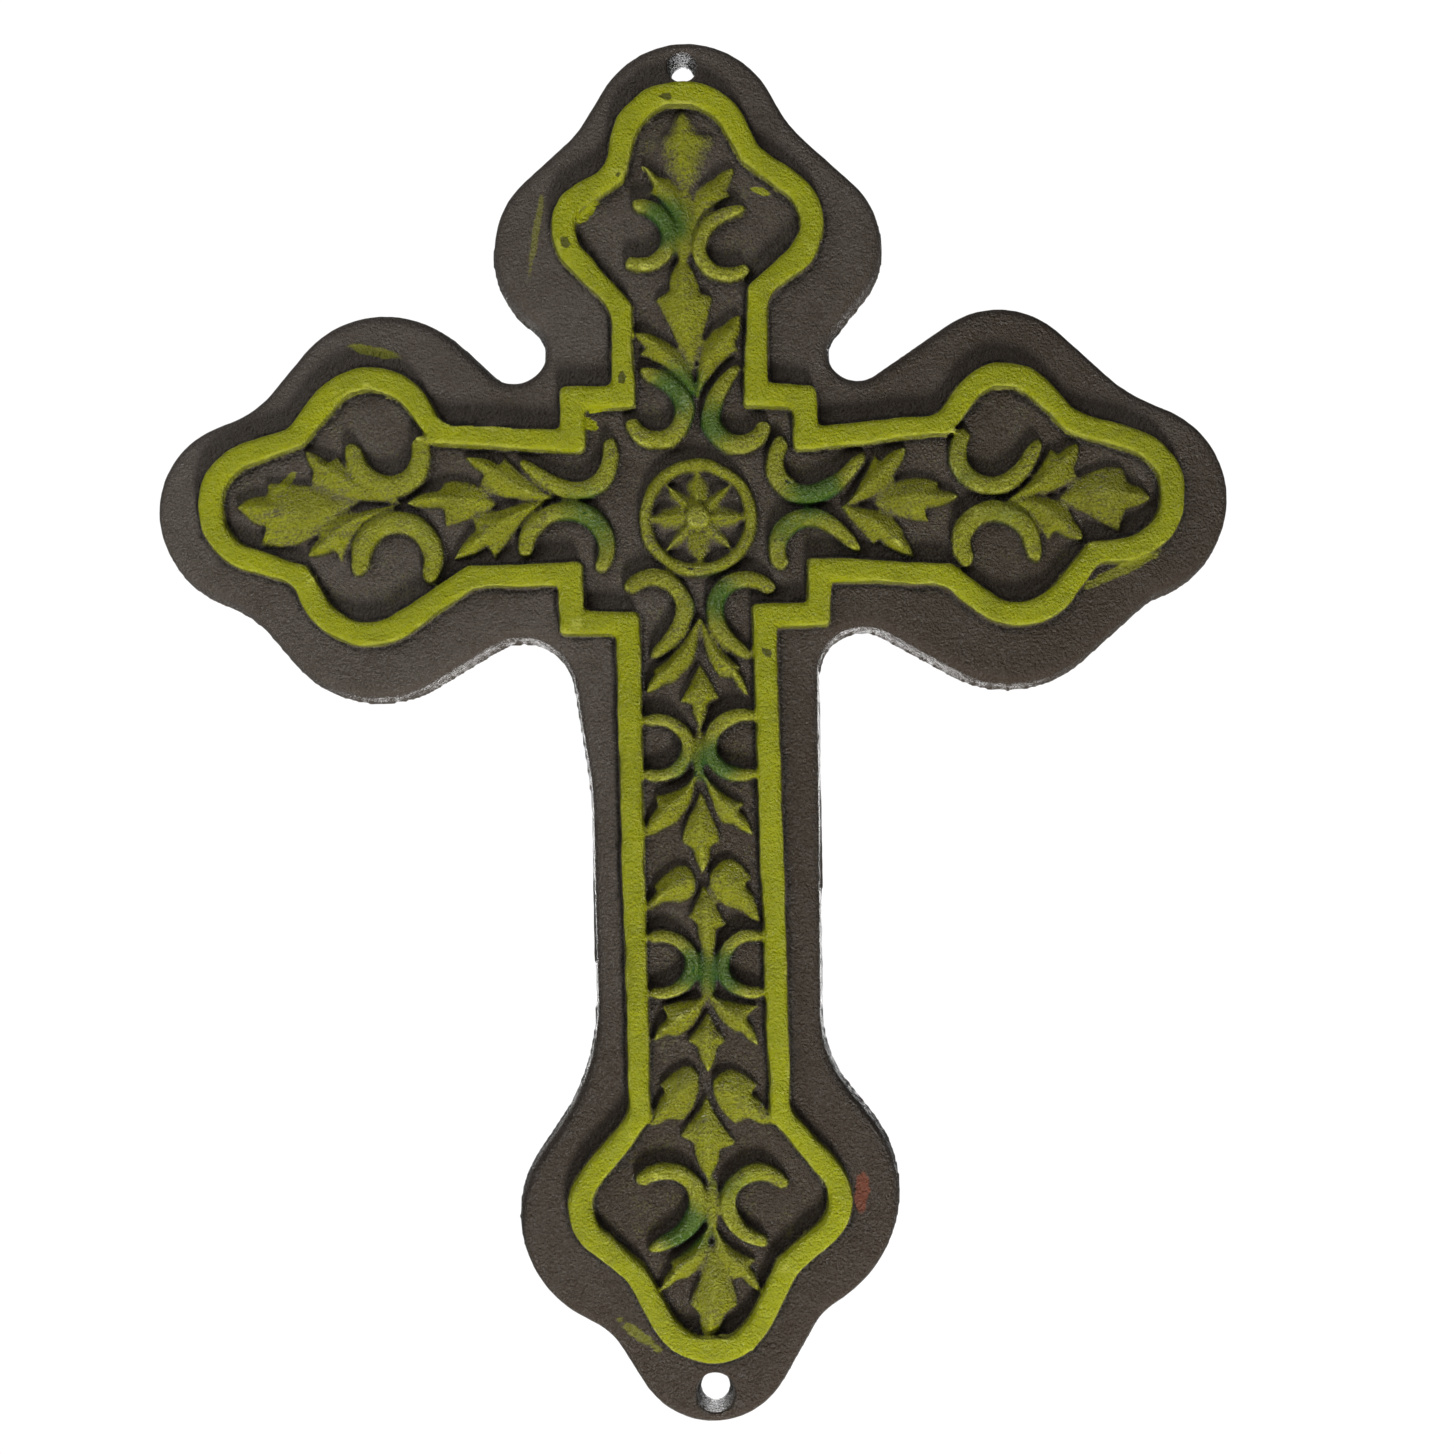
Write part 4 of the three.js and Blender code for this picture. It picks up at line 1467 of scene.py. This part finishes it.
STEM = Arm(
    angle=-math.pi / 2,
    scrolls=(
        Scroll(Side.LEFT, (19.8, 9.8), 6.6, 2, 149, 97, run_reach=1.47, glaze=0.85, glaze_at=-25),
        Scroll(Side.RIGHT, (19.2, -9.9), 6.6, 2, 148, 96, run_reach=1.52, glaze=0.2, glaze_at=-20),
        Scroll(Side.LEFT, (48.6, 7.2), 5.65, 1.6, 130, 130, 1.32, 1.32, glaze=0.95, glaze_at=40),
        Scroll(Side.RIGHT, (48.8, -8.4), 5.4, 1.5, 130, 130, 1.25, 1.25, glaze=0.6, glaze_at=55),
        Scroll(Side.LEFT, (95.4, 9), 5.6, 1.5, 122, 122, 1.15, 1.15, glaze=0.95, glaze_at=20),
        Scroll(Side.RIGHT, (95.2, -8.4), 5.5, 1.5, 127, 127, 1.22, 1.22, glaze=0.95, glaze_at=10),
        Scroll(Side.LEFT, (146.5, 10.4), 6.7, 1.9, 150, 106, run_reach=1.2, glaze=0.55, glaze_at=-40),
        Scroll(Side.RIGHT, (145.6, -9), 6.4, 2, 151, 115, 1.1, 1.65, glaze=1.0, glaze_at=62),
    ),
    leaves=(
        # first spray
        Leaf(
            (21.5, 0.2), Edge((27.5, 4.2), (31.8, 8.3), (32.4, 7.6)),
            (38.3, 9.9), Edge((29.5, 1.3), (34.2, 3.9), (34.6, 6.6)),
        ),
        Leaf(
            (21.5, -0.3), Edge((28, -5.2), (32.4, -10.4), (33.2, -9.8)),
            (37.2, -11.9), Edge((29.5, -1.2), (35, -5.6), (35.6, -8)),
        ),
        Leaf(
            (31, -0.2), Edge((35, 1.9), (38.6, 4.1), (39.6, 1.6)),
            (44.8, -0.5), Edge((35, -2.2), (39.2, -4.5), (39.8, -2)), crest=RISING,
        ),
        # second spray
        Leaf(
            (54, 0), Edge((58.4, 4), (61, 8.9), (62.3, 7.5)),
            (67.9, 10.7), Edge((60.5, 1.6), (65.2, 3.8), (65.8, 6.4)),
        ),
        Leaf(
            (54.5, -1.2), Edge((57.8, -5.4), (59.2, -10.2), (61.4, -9.8)),
            (67.7, -12.5), Edge((60.5, -2.8), (65.4, -5.8), (66.6, -9)),
        ),
        Leaf(
            (58, -0.6), Edge((64, 2), (69.2, 3.6), (70.2, 1.4)),
            (75.6, -0.5), Edge((64, -3.2), (69.4, -4.7), (70.6, -2.4)), crest=RISING,
        ),
        # third spray, with broad leaves
        Leaf(
            (76, 1), Edge((72.9, 5.6), (77, 10.2), (77.9, 8.4)),
            (86.3, 11.4), Edge((80.5, 1.8), (83.2, 5), (84, 7.6)),
        ),
        Leaf(
            (77, -1.8), Edge((73.9, -5.2), (78.3, -11.2), (79.2, -10.2)),
            (83.6, -12.7), Edge((80.8, -2.8), (82.2, -6.6), (82.2, -9)),
        ),
        Leaf(
            (78, -0.3), Edge((82.5, 2.4), (86.7, 4.4), (87.8, 2.2)),
            (93.7, 0.5), Edge((82, -2), (85.2, -3.8), (86.8, -1.8)), crest=RISING,
        ),
        # fourth spray
        Leaf(
            (101.5, 0.4), Edge((103.2, 4.6), (104, 11), (106.6, 8.7)),
            (112.7, 11), Edge((106, 2), (109.6, 5.6), (110.2, 7.6)),
        ),
        Leaf(
            (102.3, -0.4), Edge((102.9, -4.6), (104, -9.6), (106.2, -8.4)),
            (111.4, -11.6), Edge((107, -2), (110.6, -6.4), (110.4, -8.6)),
        ),
        Leaf(
            (105.5, 0.3), Edge((108.8, 2.2), (111.8, 3.9), (113.2, 2)),
            (118.3, 0.2), Edge((108.8, -2.2), (111.5, -4.2), (112.8, -2.2)), crest=RISING,
        ),
        # fifth spray, with broad leaves
        Leaf(
            (120, 1.2), Edge((117.8, 5.4), (121, 10.4), (122.6, 8.8)),
            (129.7, 14.2), Edge((125, 1.8), (129.4, 5.6), (128.2, 8.6)),
        ),
        Leaf(
            (119, -1.8), Edge((116.9, -5), (120.8, -10.4), (122.2, -9)),
            (129.7, -12.4), Edge((123.5, -2.4), (128.6, -5.6), (128.2, -8.8)),
        ),
        Leaf(
            (123, -0.2), Edge((128.5, 2.2), (133.4, 5.8), (134.6, 2)),
            (141.4, -0.2), Edge((128, -3.6), (131.8, -6.2), (133.4, -3.2)), crest=RISING,
        ),
        # foot spray
        Leaf(
            (150.5, 0.6), Edge((155.6, 4.4), (158.4, 9.8), (159.6, 8.4)),
            (165.4, 10.4), Edge((157.5, 1.4), (162.6, 4.2), (162, 6.6)),
        ),
        Leaf(
            (150.5, -0.4), Edge((155, -4), (158.6, -9), (159.8, -8.4)),
            (164.5, -10.7), Edge((157.5, -1.2), (162.2, -5), (162.8, -7.4)),
        ),
        Leaf(
            (155, 0.2), Edge((162, 4.2), (168.2, 5.4), (170.3, 2.6)),
            (175.7, -1), Edge((162, -2.6), (167.6, -4.8), (170.2, -2.6)), crest=RISING,
        ),
    ),
    stalks=(
        Stalk((44, -0.7), (57, -0.6), 1.4),
        Stalk((89, 0.3), (104.5, 0.1), 2.0),
        Stalk((140, 0.4), (154, 0.2), 1.8),
    ),
)


def main() -> None:
    """Builds the cross and the studio, and reports each piece."""
    logging.basicConfig(level=logging.INFO, format="%(message)s")
    Studio().build()
    casting = Casting(PLATE, BAND, (STEM, LEFT_ARM, RIGHT_ARM, TOP_ARM), Medallion(), Paint())
    cross = casting.build()
    LOG.info("%s: %d triangles", cross.name, len(cross.data.polygons))


if __name__ == "__main__":
    main()
